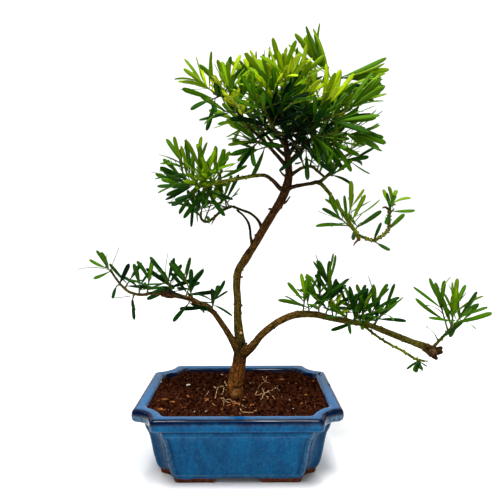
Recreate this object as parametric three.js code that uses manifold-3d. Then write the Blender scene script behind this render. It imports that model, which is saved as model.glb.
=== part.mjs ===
// A podocarpus bonsai in its glazed rectangular pot, as an assembly of separate solids:
// the pot, its soil, the trunk, the boughs, and masses of foliage that each grow on one stem.
// Millimetres, +Z up. The sizes below are set out from the middle of the pot's underside, with
// +X along the pot's long side and +Y towards its back. The whole part is then moved so that
// its own box is centred on the origin.

import * as THREE from 'three';
import { mergeVertices } from 'three/addons/utils/BufferGeometryUtils.js';
import Module from 'manifold-3d';

const wasm = await Module();
wasm.setup();

// ---- Driving dimensions ----

const GAP = 0.3; // clear space between neighbouring solids
const FINEST = 0.06; // detail smaller than this is melted away
const GRID = 0.01; // all points lie on a grid of this size
const NEAREST = 0.001; // points closer than this are one point

const POT = {
  halfX: 101, // outside of the rim
  halfY: 76,
  height: 72,
  rimHollow: 22, // radius of the hollow that is taken out of each corner at the rim
  tipRound: 4, // radius of the outside where a hollow meets a side
  insideRound: 9, // and of the inside
  tipSteps: 2, // straight pieces in each rounded tip
  hollowSteps: 4,
  wall: 12.5, // from the outside of the rim to the soil
  taper: 0.33, // the inside narrows by this much per millimetre of depth
  cornerTaper: 0.12, // and by this much more at its corners
  floorTop: 11,
  panelDepth: 1.5,
  panelLow: 8,
  panelHigh: 50.5,
  panelMargin: 43, // the panel's lower corners stand in from the rim's outside by this much
  panelFlare: 9, // and its upper corners by this much less
  footHeight: 6,
  footRing: 9, // width of the ring that the feet are cut from
  archFlat: 40, // the gap between two feet, at its top and on the ground
  archGround: 48,
  sideArch: 0.6, // size of the gaps in the short sides, as a share of the others
  holeRadius: 7,
  holeOffset: 42,
};
// [height, how far the sides stand in from the rim's, radius of the corners' hollows, how far the
// whole outline is drawn in], from the ground to the inner edge of the rim
const POT_PROFILE = [
  [0, 23.8, 16.5, 0], [4.5, 22.8, 16.7, 0], [8, 20.8, 16.9, 0], [24, 17.2, 17.6, 0], [44, 13.8, 18.2, 0],
  [51, 11.3, 18.4, 0], [57, 10.2, 18.6, 0], [59, 7, 19.7, 0], [60, 2, 21.3, 0], [62.5, 0, 22, 0],
  [69, 0, 22, 0], [71.2, 0, 22, 1.4], [72, 0, 22, 4],
];
const BODY_ROWS = 7; // the rows that are the body, under the rim

const SOIL = {
  edge: 69,
  lowest: 67.9, // no point of its uneven edge is lower
  flat: 68.2,
  flatShare: 0.25, // level under the trunk, as a share of the way out to the pot
  roughShare: 0.6,
  longWave: 0.7, // height and lengths of its long and short waves
  longX: 13,
  longY: 11,
  shortWave: 0.4,
  shortX: 5.3,
  shortY: 7.1,
};
const TRUNK_FOOT = new THREE.Vector3(-3, -6, SOIL.flat + GAP);
const FLARE = { height: 6, reach: 0.34, lobes: 5, turn: 0.7, even: 0.35 };

const LEAF = {
  width: 0.175, // width and widest place are shares of the leaf's own length
  widest: 0.6,
  thickness: 0.8,
  sink: 0.15,
  core: 1.1, // leaves of one mass keep their middles twice this far apart
  baseTilt: 80, // degrees away from the shoot, at its foot and at its tip
  tipTilt: 30,
  firstLeaf: 0.28, // share of the shoot that stays bare
  turns: [0, 35, -35, 70, -70, 105, -105], // tried in turn for a clear place
  countShare: 0.5, // each solid leaf is a little wide and stands for its neighbours too
  turnSpread: 30, // degrees of seeded change
  tiltSpread: 20,
  tiltFall: 1.5, // how late along the shoot the leaves close up towards its tip
  smallest: 0.85, // length at either end of the shoot, and how much longer in its middle
  longer: 0.3,
  longestAt: 0.8,
  sizeLow: 0.88, // seeded share of the length, from the lowest, and its range
  sizeRange: 0.24,
};
const TWIG = { radius: 1.05, tipRadius: 0.85, sides: 3, steps: 1, lift: 0.05, turns: [0, 20, -20, 40, -40] };
const FILL = { turnSpread: 36, riseSpread: 40, shortest: 0.85, lengthRange: 0.3 };
const BALLS = {
  limbSpacing: 2.5,
  twigShares: [0.3, 0.5, 0.7, 0.9, 1],
  twigMargin: 0.3,
  twigOuter: 0.4, // nearer its own foot than this, a twig or leaf may touch its own mass
  leafShares: [0.2, 0.35, 0.5, 0.65, 0.8, 0.95],
  leafMargin: 0.2,
  leafOuter: 0.3,
};
const GOLDEN_ANGLE = 137.5;
const UP = new THREE.Vector3(0, 0, 1);

// ---- Limbs: points down the middle of each, with its radius there ----

const LIMBS = {
  trunk: [
    [-3, -6, 60, 8], [-4, -6, 77, 7.6], [-2, -5, 88, 7.6], [0, -4, 100, 6.8], [2, -2, 112, 7],
    [1, 0, 126, 5.4], [-1, 1, 145, 4.1], [-1, 2, 167, 3.7], [-2, 3, 183, 3.7], [0, 4, 198, 3.9],
    [7, 5, 209, 4.1], [20, 6, 230, 3.9], [32, 6, 251, 4], [45, 5, 272, 4.3], [51, 4, 287, 4.5],
    [53, 3, 303, 3.3], [51, 2, 318, 3.3], [49, 2, 333, 2.5], [48, 3, 346, 1.7],
  ],
  lower_left: [
    [0, -2, 114, 4], [-9, -7, 130, 3.2], [-16, -11, 143, 2.8], [-26, -16, 158, 2.7],
    [-36, -18, 165, 2.6], [-46, -20, 171, 2.4], [-56, -20, 174, 2.3], [-71, -18, 177, 2.8],
    [-88, -15, 177, 1.6], [-99, -13, 175, 1.4], [-110, -11, 177, 1.4], [-117, -9, 181, 1.3],
    [-128, -6, 193, 1.1], [-132, -5, 200, 1],
  ],
  lower_right: [
    [2, -3, 109, 4.5], [11, -9, 117, 4.2], [17, -11, 124, 3.7], [24, -13, 133, 3.6],
    [39, -15, 146, 3.6], [58, -14, 154, 3.5], [79, -12, 154, 3.3], [98, -9, 149, 3],
    [116, -6, 145, 2.8], [136, -4, 141, 2.8], [149, -2, 136, 3.1], [165, 0, 129, 3.3],
    [184, 3, 121, 3.4], [200, 5, 115, 3.8], [212, 6, 110, 4.2],
  ],
  tip_right: [
    [207, 5, 112, 1.7], [212, 4, 119, 1.5], [218, 2, 127, 1.4], [224, 0, 135, 1.6], [230, -2, 142, 1.2],
  ],
  hanging_twig: [
    [129, -4, 142, 1.4], [142, -12, 132, 1.4], [153, -16, 125, 1.3], [167, -19, 118, 1.4],
    [180, -21, 110, 1.3], [189, -22, 108, 1.1],
  ],
  mid_left: [
    [49, 4, 281, 2.6], [43, 0, 284, 2.2], [36, -4, 291, 2], [28, -7, 296, 1.9], [21, -9, 296, 1.9],
    [8, -12, 294, 1.8], [-6, -15, 291, 1.7], [-21, -17, 288, 1.8], [-34, -16, 285, 1.8], [-42, -14, 287, 1.6],
  ],
  thin_upper: [
    [25, 6, 239, 2], [23, 9, 247, 1.6], [18, 12, 254, 1.4], [11, 14, 259, 1.3], [3, 15, 262, 1.3],
    [-7, 15, 266, 1.5],
  ],
  thin_lower: [
    [15, 6, 224, 1.8], [13, 2, 233, 1.3], [12, 1, 243, 1.2], [10, 2, 249, 1.2], [6, 5, 255, 1.1],
    [-2, 13, 262, 1.1],
  ],
  curl: [
    [-7, 15, 266, 1.5], [-18, 14, 261, 1.5], [-27, 12, 253, 1.3], [-34, 10, 249, 1.3],
    [-39, 9, 252, 1.4], [-40, 9, 260, 1.2],
  ],
  mid_right: [
    [52, 4, 284, 2.4], [56, 1, 285, 1.9], [66, -3, 287, 1.8], [74, -6, 288, 1.8], [82, -8, 289, 2.1],
    [88, -11, 283, 1.8], [93, -14, 276, 1.8], [97, -17, 268, 1.8], [103, -20, 260, 1.8],
    [108, -22, 252, 2], [112, -24, 245, 1.9], [117, -25, 238, 1.9], [120, -26, 230, 1.5],
  ],
  fork_up: [
    [81, -8, 288, 1.7], [89, -6, 294, 1.6], [96, -3, 301, 1.5], [104, 1, 311, 1.4], [117, 5, 320, 1.1],
  ],
  loop: [
    [117, -25, 237, 1.5], [125, -28, 233, 1.4], [132, -30, 231, 1.4], [138, -32, 234, 1.5],
    [143, -33, 238, 1.5], [146, -34, 243, 1.5], [146, -34, 249, 1.4], [146, -34, 256, 1.4],
    [146, -34, 263, 1.3],
  ],
  link: [
    [53, 3, 296, 1.9], [60, 2, 301, 1.7], [67, 2, 305, 1.6], [76, 1, 306, 1.6], [83, -2, 300, 1.4],
    [89, -6, 294, 1.3],
  ],
  crown_left: [
    [51, 3, 306, 2.2], [42, -2, 315, 1.9], [34, -6, 323, 1.7], [23, -10, 333, 1.6], [14, -13, 341, 1.5],
    [4, -15, 353, 1.4], [-3, -16, 361, 1.4], [-13, -17, 371, 1.3], [-24, -18, 375, 1.2],
  ],
  crown_center: [
    [49, 2, 329, 1.9], [47, -9, 340, 1.7], [44, -18, 354, 1.6], [44, -23, 367, 1.5], [47, -26, 381, 1.2],
  ],
  crown_right: [
    [51, 3, 317, 2.2], [58, 3, 327, 1.9], [64, 4, 339, 1.8], [69, 6, 350, 1.7], [77, 8, 365, 1.6],
    [86, 10, 376, 1.5], [94, 11, 386, 1.4], [101, 10, 400, 1.2],
  ],
  crown_right_low: [
    [53, 3, 311, 1.9], [59, -5, 317, 1.7], [64, -9, 324, 1.6], [70, -11, 330, 1.5], [79, -12, 333, 1.4],
    [91, -12, 335, 1.3], [102, -12, 339, 1.2],
  ],
  crown_right_mid: [
    [48, 2, 338, 1.8], [60, -10, 343, 1.6], [73, -18, 346, 1.5], [88, -23, 349, 1.4], [104, -27, 354, 1.2],
  ],
  crown_front: [
    [51, 2, 322, 1.8], [45, -11, 328, 1.6], [37, -25, 337, 1.5], [29, -37, 347, 1.4], [24, -44, 358, 1.2],
  ],
  crown_back: [
    [50, 3, 325, 1.9], [49, 16, 339, 1.7], [50, 28, 360, 1.5], [55, 38, 380, 1.4], [60, 42, 396, 1.2],
  ],
  crown_back_left: [
    [51, 3, 316, 1.9], [41, 14, 327, 1.7], [30, 26, 343, 1.5], [18, 35, 358, 1.4], [6, 40, 374, 1.2],
  ],
  crown_back_right: [
    [52, 3, 308, 1.9], [62, 15, 319, 1.7], [76, 27, 334, 1.5], [91, 36, 347, 1.4], [105, 41, 360, 1.2],
  ],
  crown_top_left: [
    [48, 3, 343, 1.5], [41, 6, 355, 1.4], [32, 8, 370, 1.3], [22, 8, 385, 1.2], [13, 6, 395, 1.1],
  ],
};

// ---- Boughs: a stretch of a limb each, [name, limb, from, to, the solids it is cut clear of] ----

const BOUGHS = [
  ['lower_left_bough', 'lower_left', 0, 0.29, ['trunk']],
  ['lower_right_rise', 'lower_right', 0, 0.32, ['trunk']],
  ['lower_right_outer', 'lower_right', 0.7, 1, []],
  ['mid_left_bough', 'mid_left', 0, 0.76, ['trunk']],
  ['thin_upper_bough', 'thin_upper', 0, 1, ['trunk']],
  ['thin_lower_bough', 'thin_lower', 0, 1, ['trunk', 'thin_upper_bough']],
  ['mid_right_bough', 'mid_right', 0, 0.335, ['trunk']],
  ['drooping_bough', 'mid_right', 0.338, 0.7, []],
  ['crown_left_bough', 'crown_left', 0, 0.22, ['trunk']],
  ['crown_right_bough', 'crown_right', 0, 0.22, ['trunk']],
  ['crown_center_bough', 'crown_center', 0, 0.2, ['trunk']],
  ['crown_low_bough', 'crown_right_low', 0, 0.24, ['trunk']],
];

// ---- Masses of foliage ----
// limb, from and to: the stretch of limb that is the mass's stem; meets: what the stem is cut
// clear of. Each shoot is [share along the limb, bearing, rise, length, leaves], with the
// bearing in degrees from +X towards +Y and the rise in degrees above level. fill adds shoots
// that turn round the stem by the golden angle: [how many, from, to, length, rise, leaves].
// spread: how wide its leaves stand open, as a multiple of the tilts in LEAF.

const MASSES = [
  {
    name: 'foliage_lower_left', limb: 'lower_left', from: 0.292, to: 1, meets: [],
    leaf: 26, spread: 1.45, seed: 12,
    shoots: [
      [0.31, -60, 60, 17, 5], [0.35, -110, -10, 9, 2], [0.42, -15, -5, 16, 3], [0.43, 140, 60, 27, 9],
      [0.45, -110, -40, 7, 3], [0.48, 90, 10, 30, 6], [0.55, -135, 65, 24, 9], [0.59, 90, 20, 28, 7],
      [0.71, -65, 60, 17, 5], [0.76, 95, 85, 11, 6], [0.79, -125, -65, 7, 3], [0.86, 60, 45, 11, 4],
      [0.9, -100, -15, 7, 2], [0.98, -165, 45, 7, 8],
    ],
  },
  {
    name: 'foliage_mid_left', limb: 'mid_left', from: 0.763, to: 1, meets: [],
    leaf: 29, spread: 1.1, seed: 26,
    shoots: [
      [0.79, -55, 40, 15, 5], [0.83, 80, 45, 23, 7], [0.89, -70, -50, 12, 6], [0.9, -70, 40, 19, 7],
      [0.93, 140, 80, 24, 9], [0.95, 85, 25, 29, 8], [0.97, -150, 50, 27, 10], [0.98, 170, 25, 23, 9],
      [0.96, -150, 0, 22, 8], [0.94, -160, -50, 16, 8], [0.99, 125, 0, 27, 7],
    ],
  },
  {
    name: 'foliage_mid_left_lower', limb: 'curl', from: 0.01, to: 1,
    meets: ['thin_lower_bough', 'thin_upper_bough'], leaf: 25, spread: 1.2, seed: 33,
    shoots: [
      [0.06, -135, 55, 18, 8], [0.1, 160, 15, 20, 6], [0.13, 105, 50, 18, 6], [0.92, 25, 80, 13, 9],
      [0.82, 150, 55, 17, 6], [0.75, -40, 60, 21, 6],
    ],
  },
  {
    name: 'foliage_lower_right_inner', limb: 'lower_right', from: 0.3215, to: 0.6985, meets: [],
    leaf: 28, spread: 1.25, seed: 50,
    shoots: [
      [0.35, -85, 65, 21, 8], [0.38, 90, 30, 22, 6], [0.42, -90, 75, 25, 8], [0.45, 65, 30, 28, 7],
      [0.49, -155, 78, 46, 16], [0.55, -90, 68, 25, 6], [0.575, -60, 35, 19, 7],
      [0.585, 65, 30, 29, 7], [0.61, -140, 20, 28, 6], [0.63, -110, 72, 21, 6], [0.65, 0, 70, 28, 10],
      [0.67, -40, 50, 26, 5], [0.68, 55, 20, 25, 6],
    ],
  },
  {
    name: 'foliage_lower_right_tip', limb: 'tip_right', from: 0, to: 1, meets: ['lower_right_outer'],
    leaf: 32, spread: 1.1, seed: 59,
    shoots: [
      [0.3, -135, 40, 11, 2], [0.68, -150, 65, 39, 11], [0.82, 50, 75, 24, 7], [0.76, -110, 40, 27, 5],
      [0.95, -50, 65, 13, 8], [0.92, 40, 5, 21, 5],
    ],
  },
  {
    name: 'foliage_hanging_twig', limb: 'hanging_twig', from: 0, to: 1,
    meets: ['foliage_lower_right_inner'], leaf: 9, spread: 1.2, seed: 66,
    shoots: [[0.93, -90, -60, 3, 3]],
  },
  {
    name: 'foliage_drooping_spray', limb: 'mid_right', from: 0.702, to: 1, meets: [],
    leaf: 28, spread: 1.1, seed: 77,
    shoots: [
      [0.76, 40, 60, 13, 5], [0.8, -35, 45, 10, 4], [0.89, 60, 20, 13, 4], [0.9, -160, 35, 22, 8],
      [0.94, 170, -10, 8, 3],
    ],
  },
  {
    name: 'foliage_loop', limb: 'loop', from: 0, to: 1, meets: ['foliage_drooping_spray'],
    leaf: 20, spread: 1.3, seed: 94,
    shoots: [
      [0.29, -70, -20, 7, 2], [0.57, 60, 30, 9, 2], [0.88, -75, 30, 7, 4], [0.97, 0, 70, 6, 6],
    ],
  },
  {
    name: 'foliage_right_under', limb: 'fork_up', from: 0, to: 1,
    meets: ['mid_right_bough', 'drooping_bough'], leaf: 25, spread: 1.1, seed: 99,
    shoots: [
      [0.24, -45, 10, 9, 4], [0.37, -145, 50, 18, 7], [0.49, -95, 70, 19, 8], [0.69, 125, 55, 22, 7],
      [0.75, 20, -5, 16, 5], [0.92, 0, 65, 11, 6],
    ],
  },
  {
    name: 'foliage_link', limb: 'link', from: 0, to: 1, meets: ['trunk', 'foliage_right_under'],
    leaf: 23, spread: 1.1, seed: 101,
    shoots: [[0.4, -120, 55, 14, 5], [0.54, -75, 55, 19, 7], [0.74, 60, 55, 15, 5]],
  },
  {
    name: 'foliage_crown_left', limb: 'crown_left', from: 0.223, to: 0.6, meets: [],
    leaf: 31, spread: 1.0, seed: 111,
    shoots: [
      [0.32, -155, 5, 17, 8], [0.28, 140, -10, 18, 6], [0.38, -120, -35, 22, 6], [0.42, -60, 25, 25, 8],
      [0.54, 120, 5, 13, 4], [0.57, -55, 50, 19, 9],
    ],
  },
  {
    name: 'foliage_crown_far_left', limb: 'crown_left', from: 0.603, to: 1, meets: [],
    leaf: 29, spread: 1.1, seed: 130,
    shoots: [
      [0.7, -145, -5, 16, 7], [0.74, 50, 65, 20, 9], [0.81, -75, 60, 19, 9], [0.89, 90, 60, 23, 9],
      [0.93, -125, -30, 18, 5], [0.97, -170, 35, 16, 12],
    ],
  },
  {
    name: 'foliage_crown_center', limb: 'crown_center', from: 0.205, to: 1, meets: [],
    leaf: 30, spread: 0.9, seed: 139,
    shoots: [
      [0.25, -140, 10, 23, 7], [0.33, -40, 20, 20, 7], [0.54, -135, 25, 27, 9], [0.59, -35, 25, 27, 8],
      [0.77, -150, 40, 29, 11], [0.81, -5, 45, 27, 9], [0.92, -175, 65, 9, 9], [0.96, -55, 65, 8, 8],
      [0.98, -100, 10, 25, 7],
    ],
  },
  {
    name: 'foliage_crown_right', limb: 'crown_right', from: 0.223, to: 1, meets: [],
    leaf: 41, spread: 0.45, seed: 144,
    shoots: [
      [0.33, 120, 45, 27, 7], [0.43, -35, 10, 19, 7], [0.58, 180, 65, 24, 7], [0.65, 35, 5, 25, 6],
      [0.85, -35, -10, 19, 8], [0.95, -172, 50, 20, 11], [0.98, -10, -4, 16, 10],
    ],
  },
  {
    name: 'foliage_crown_right_low', limb: 'crown_right_low', from: 0.244, to: 1, meets: [],
    leaf: 34, spread: 0.75, seed: 155,
    shoots: [
      [0.28, -115, 10, 20, 6], [0.44, -75, -50, 20, 6], [0.53, -85, 30, 18, 7], [0.64, 50, -35, 16, 7],
      [0.78, -40, -40, 19, 7], [0.9, 30, 35, 19, 7], [0.97, -5, -15, 18, 10],
    ],
  },
  {
    name: 'foliage_crown_right_mid', limb: 'crown_right_mid', from: 0, to: 1, meets: ['trunk'],
    leaf: 38, spread: 0.55, seed: 166,
    shoots: [
      [0.32, -55, -40, 19, 6], [0.51, -70, 45, 18, 8], [0.7, -30, -15, 21, 8], [0.81, 30, 45, 21, 8],
      [0.95, -5, 35, 16, 10],
    ],
  },
  {
    name: 'foliage_crown_front', limb: 'crown_front', from: 0, to: 1, meets: ['trunk'],
    leaf: 30, spread: 1.0, seed: 177,
    shoots: [],
    fill: [6, 0.4, 0.98, 20, 20, 8],
  },
  {
    name: 'foliage_crown_top_left', limb: 'crown_top_left', from: 0, to: 1, meets: ['trunk'],
    leaf: 29, spread: 0.9, seed: 188,
    shoots: [],
    fill: [7, 0.35, 0.98, 14, 35, 8],
  },
  {
    name: 'foliage_crown_back', limb: 'crown_back', from: 0, to: 1, meets: ['trunk'],
    leaf: 33, spread: 0.9, seed: 199,
    shoots: [],
    fill: [8, 0.3, 0.95, 20, 15, 8],
  },
  {
    name: 'foliage_crown_back_left', limb: 'crown_back_left', from: 0, to: 1, meets: ['trunk'],
    leaf: 32, spread: 1.0, seed: 211,
    shoots: [],
    fill: [7, 0.35, 0.98, 22, 15, 8],
  },
  {
    name: 'foliage_crown_back_right', limb: 'crown_back_right', from: 0, to: 1, meets: ['trunk'],
    leaf: 32, spread: 1.0, seed: 222,
    shoots: [],
    fill: [7, 0.35, 0.98, 22, 15, 8],
  },
];

// ---- Small helpers ----

const radians = THREE.MathUtils.degToRad;
const mix = THREE.MathUtils.lerp;

// A stream of numbers from 0 to 1 that is the same for the same seed.
function seeded(seed) {
  let state = seed;
  return () => {
    state = (state + 0x6d2b79f5) | 0;
    let value = Math.imul(state ^ (state >>> 15), 1 | state);
    value = (value + Math.imul(value ^ (value >>> 7), 61 | value)) ^ value;
    return ((value ^ (value >>> 14)) >>> 0) / 4294967296;
  };
}

function compass(bearing, rise) {
  const level = Math.cos(radians(rise));
  return new THREE.Vector3(
    level * Math.cos(radians(bearing)),
    level * Math.sin(radians(bearing)),
    Math.sin(radians(rise)),
  );
}

// start + a * amount + b * another amount ...
function sum(start, ...terms) {
  const total = start.clone();
  for (const [vector, amount] of terms) total.addScaledVector(vector, amount);
  return total;
}

// Two directions square to an axis and to each other.
function acrossOf(axis) {
  const aside = new THREE.Vector3().crossVectors(axis, UP);
  if (aside.length() < 0.2) aside.set(1, 0, 0).addScaledVector(axis, -axis.x);
  aside.normalize();
  return [aside, new THREE.Vector3().crossVectors(aside, axis)];
}

// ---- Solids ----

// Closes a stack of rings, each anticlockwise seen from the last one, into one surface.
function loft(rings) {
  const count = rings[0].length;
  const points = rings.flat();
  const faces = [];
  for (let level = 0; level + 1 < rings.length; level += 1) {
    for (let i = 0; i < count; i += 1) {
      const low = level * count;
      const next = (i + 1) % count;
      faces.push(low + i, low + next, low + count + next);
      faces.push(low + i, low + count + next, low + count + i);
    }
  }
  const last = (rings.length - 1) * count;
  const middles = [rings[0], rings[rings.length - 1]].map((ring) => {
    const middle = new THREE.Vector3();
    for (const point of ring) middle.addScaledVector(point, 1 / count);
    return points.push(middle) - 1;
  });
  for (let i = 0; i < count; i += 1) {
    const next = (i + 1) % count;
    faces.push(middles[0], next, i);
    faces.push(middles[1], last + i, last + next);
  }
  return new THREE.BufferGeometry().setFromPoints(points).setIndex(faces);
}

function toSolid(geometry) {
  const bare = geometry.clone();
  for (const name of Object.keys(bare.attributes)) {
    if (name !== 'position') bare.deleteAttribute(name);
  }
  const merged = mergeVertices(bare, NEAREST);
  return new wasm.Manifold(
    new wasm.Mesh({
      numProp: 3,
      vertProperties: new Float32Array(merged.attributes.position.array),
      triVerts: new Uint32Array(merged.index.array),
    }),
  );
}

function largest(bodies) {
  return bodies.reduce((best, body) => (body.volume() > best.volume() ? body : best));
}

// Points are put on a fine grid, so that none are nearly the same.
function toGeometry(solid) {
  const mesh = solid.getMesh();
  const geometry = new THREE.BufferGeometry();
  const points = mesh.vertProperties.map((value) => Math.round(value / GRID) * GRID);
  geometry.setAttribute('position', new THREE.BufferAttribute(points, 3));
  geometry.setIndex(new THREE.BufferAttribute(mesh.triVerts, 1));
  return geometry;
}

// The largest body of a solid, with its loose scraps and sealed hollows left out. Points that
// nearly meet are joined first, since that can set a further scrap loose.
function wholeBody(solid) {
  const body = largest(solid.asOriginal().simplify(FINEST).decompose());
  return largest(toSolid(toGeometry(body)).decompose());
}

function joined(solids) {
  return solids.reduce((all, solid) => all.add(solid));
}

// ---- Limbs ----

class Limb {
  constructor(points) {
    this.curve = new THREE.CatmullRomCurve3(points.map(([x, y, z]) => new THREE.Vector3(x, y, z)));
    this.radii = points.map((point) => point[3]);
    this.length = this.curve.getLength();
  }

  at(share) {
    return this.curve.getPointAt(share);
  }

  heading(share) {
    return this.curve.getTangentAt(share);
  }

  radius(share) {
    const place = this.curve.getUtoTmapping(share) * (this.radii.length - 1);
    const before = Math.min(Math.floor(place), this.radii.length - 2);
    return mix(this.radii[before], this.radii[before + 1], place - before);
  }
}

// Rings round a stretch of a limb, turned as little as possible from one to the next. extra makes
// it fatter, and longer by as much at both ends.
function limbRings(limb, from, to, { sides, spacing, extra = 0, swell = () => 1 }) {
  const steps = Math.max(2, Math.ceil(((to - from) * limb.length) / spacing));
  const rings = [];
  let [aside] = acrossOf(limb.heading(from));
  for (let step = 0; step <= steps; step += 1) {
    const share = mix(from, to, step / steps);
    const heading = limb.heading(share);
    const overrun = extra * ((step === steps) - (step === 0));
    const middle = sum(limb.at(share), [heading, overrun]);
    aside = sum(aside, [heading, -aside.dot(heading)]).normalize();
    const other = new THREE.Vector3().crossVectors(heading, aside);
    const ring = [];
    for (let i = 0; i < sides; i += 1) {
      const angle = (2 * Math.PI * i) / sides;
      const reach = (limb.radius(share) + extra) * swell(angle, middle.z);
      ring.push(sum(middle, [aside, reach * Math.cos(angle)], [other, reach * Math.sin(angle)]));
    }
    rings.push(ring);
  }
  return rings;
}

// The trunk's foot widens into shallow lobes just above the soil.
function rootFlare(angle, height) {
  const fade = Math.exp(-(height - TRUNK_FOOT.z) / FLARE.height);
  const lobe = (1 + Math.cos(FLARE.lobes * angle + FLARE.turn)) / 2;
  return 1 + FLARE.reach * Math.min(fade, 1) * mix(FLARE.even, 1, lobe);
}

const limbs = Object.fromEntries(Object.entries(LIMBS).map(([name, points]) => [name, new Limb(points)]));
const TRUNK_STYLE = { sides: 12, spacing: 9, swell: rootFlare };
const BOUGH_STYLE = { sides: 8, spacing: 8 };
const STEM_STYLE = { sides: 5, spacing: 10 };

// What each neighbour has to stay clear of: the same stretch of limb, fatter by the gap.
const fatSolids = new Map();

function limbSolid(name, limb, from, to, style, clearOf) {
  let solid = toSolid(loft(limbRings(limb, from, to, style)));
  for (const other of clearOf) solid = solid.subtract(fatSolids.get(other));
  const fat = { ...style, extra: GAP / Math.cos(Math.PI / style.sides) };
  fatSolids.set(name, toSolid(loft(limbRings(limb, from, to, fat))));
  return wholeBody(solid);
}

function trunkSolid() {
  const below = new THREE.BoxGeometry(60, 60, 40);
  below.translate(TRUNK_FOOT.x, TRUNK_FOOT.y, TRUNK_FOOT.z - 20);
  return wholeBody(limbSolid('trunk', limbs.trunk, 0, 1, TRUNK_STYLE, []).subtract(toSolid(below)));
}

// ---- Foliage ----

// Balls along everything that is already in place. Each holds the radius that other solids keep
// clear of, and the slimmer core that only the leaves and twigs of its own mass keep clear of.
const taken = [];

function takeLimb(owner, limb, from, to) {
  const steps = Math.ceil(((to - from) * limb.length) / BALLS.limbSpacing);
  for (let step = 0; step <= steps; step += 1) {
    const share = mix(from, to, step / steps);
    const radius = limb.radius(share);
    taken.push({ owner, middle: limb.at(share), radius, core: radius, twig: null });
  }
}

// twig is the one that a leaf grows on, which it may touch.
function isClear(owner, balls, twig) {
  return balls.every((ball) =>
    taken.every((other) => {
      const apart = other.middle.distanceTo(ball.middle);
      if (other.owner !== owner) return apart > other.radius + ball.radius + GAP;
      return other.twig === twig || !ball.outer || apart > other.core + ball.core;
    }),
  );
}

function twigPath(start, heading, length) {
  const lift = length * TWIG.lift * Math.hypot(heading.x, heading.y);
  return {
    at: (share) => sum(start, [heading, length * share], [UP, lift * share * share]),
    heading: (share) => sum(heading, [UP, (2 * lift * share) / length]).normalize(),
  };
}

function twigBalls(path) {
  return BALLS.twigShares.map((share) => ({
    middle: path.at(share),
    radius: TWIG.radius + BALLS.twigMargin,
    core: TWIG.radius,
    outer: share > BALLS.twigOuter,
  }));
}

function twigSolid(path) {
  const rings = [];
  for (let step = 0; step <= TWIG.steps; step += 1) {
    const share = step / TWIG.steps;
    const [aside, upward] = acrossOf(path.heading(share));
    const radius = mix(TWIG.radius, TWIG.tipRadius, share);
    const ring = [];
    for (let i = 0; i < TWIG.sides; i += 1) {
      const angle = (-2 * Math.PI * i) / TWIG.sides;
      ring.push(
        sum(path.at(share), [aside, radius * Math.cos(angle)], [upward, radius * Math.sin(angle)]),
      );
    }
    rings.push(ring);
  }
  return toSolid(loft(rings));
}

// Where one leaf lies: its foot, its tip, the middle of its blade, and the ways that the blade faces.
function placeLeaf(path, share, turn, tilt, length) {
  const axis = path.heading(share);
  const [aside, upward] = acrossOf(axis);
  const outward = sum(new THREE.Vector3(), [aside, Math.cos(turn)], [upward, Math.sin(turn)]);
  const along = sum(new THREE.Vector3(), [axis, Math.cos(tilt)], [outward, Math.sin(tilt)]);
  const face = sum(new THREE.Vector3(), [axis, Math.sin(tilt)], [outward, -Math.cos(tilt)]);
  const side = new THREE.Vector3().crossVectors(along, face);
  const foot = path.at(share);
  const tip = sum(foot, [along, length]);
  const middle = sum(foot, [along, LEAF.widest * length]);
  return { foot, tip, middle, along, face, side, length };
}

function leafBalls(leaf) {
  return BALLS.leafShares.map((share) => ({
    middle: new THREE.Vector3().lerpVectors(leaf.foot, leaf.tip, share),
    radius: (leaf.length * LEAF.width) / 2 + BALLS.leafMargin,
    core: LEAF.core,
    outer: share > BALLS.leafOuter,
  }));
}

// A six-faced blade: an upright edge at its foot, flat below as far as its widest place, and a
// midrib that runs along the top of it to the tip.
function leafSolid(leaf) {
  const halfWidth = (leaf.length * LEAF.width) / 2;
  const half = LEAF.thickness / 2;
  const foot = sum(leaf.foot, [leaf.along, -LEAF.sink]);
  const points = [
    sum(foot, [leaf.face, half]),
    sum(foot, [leaf.face, -half]),
    sum(leaf.middle, [leaf.side, halfWidth], [leaf.face, -half]),
    sum(leaf.middle, [leaf.side, -halfWidth], [leaf.face, -half]),
    sum(leaf.tip, [leaf.face, half]),
  ];
  const faces = [0, 1, 2, 1, 0, 3, 1, 3, 2, 0, 2, 4, 0, 4, 3, 3, 4, 2];
  return toSolid(new THREE.BufferGeometry().setFromPoints(points).setIndex(faces));
}

// The shoots of a mass: those that are listed, then those that turn round the stem.
function shootsOf(mass, random) {
  const shoots = [...mass.shoots];
  if (!mass.fill) return shoots;
  const [count, from, to, length, rise, leaves] = mass.fill;
  for (let i = 0; i < count; i += 1) {
    const share = mix(from, to, (i + 0.5) / count);
    const bearing = i * GOLDEN_ANGLE + FILL.turnSpread * random();
    const steep = rise + FILL.riseSpread * (random() - 0.5);
    const long = length * (FILL.shortest + FILL.lengthRange * random());
    shoots.push([share, bearing, steep, long, leaves]);
  }
  return shoots;
}

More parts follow.
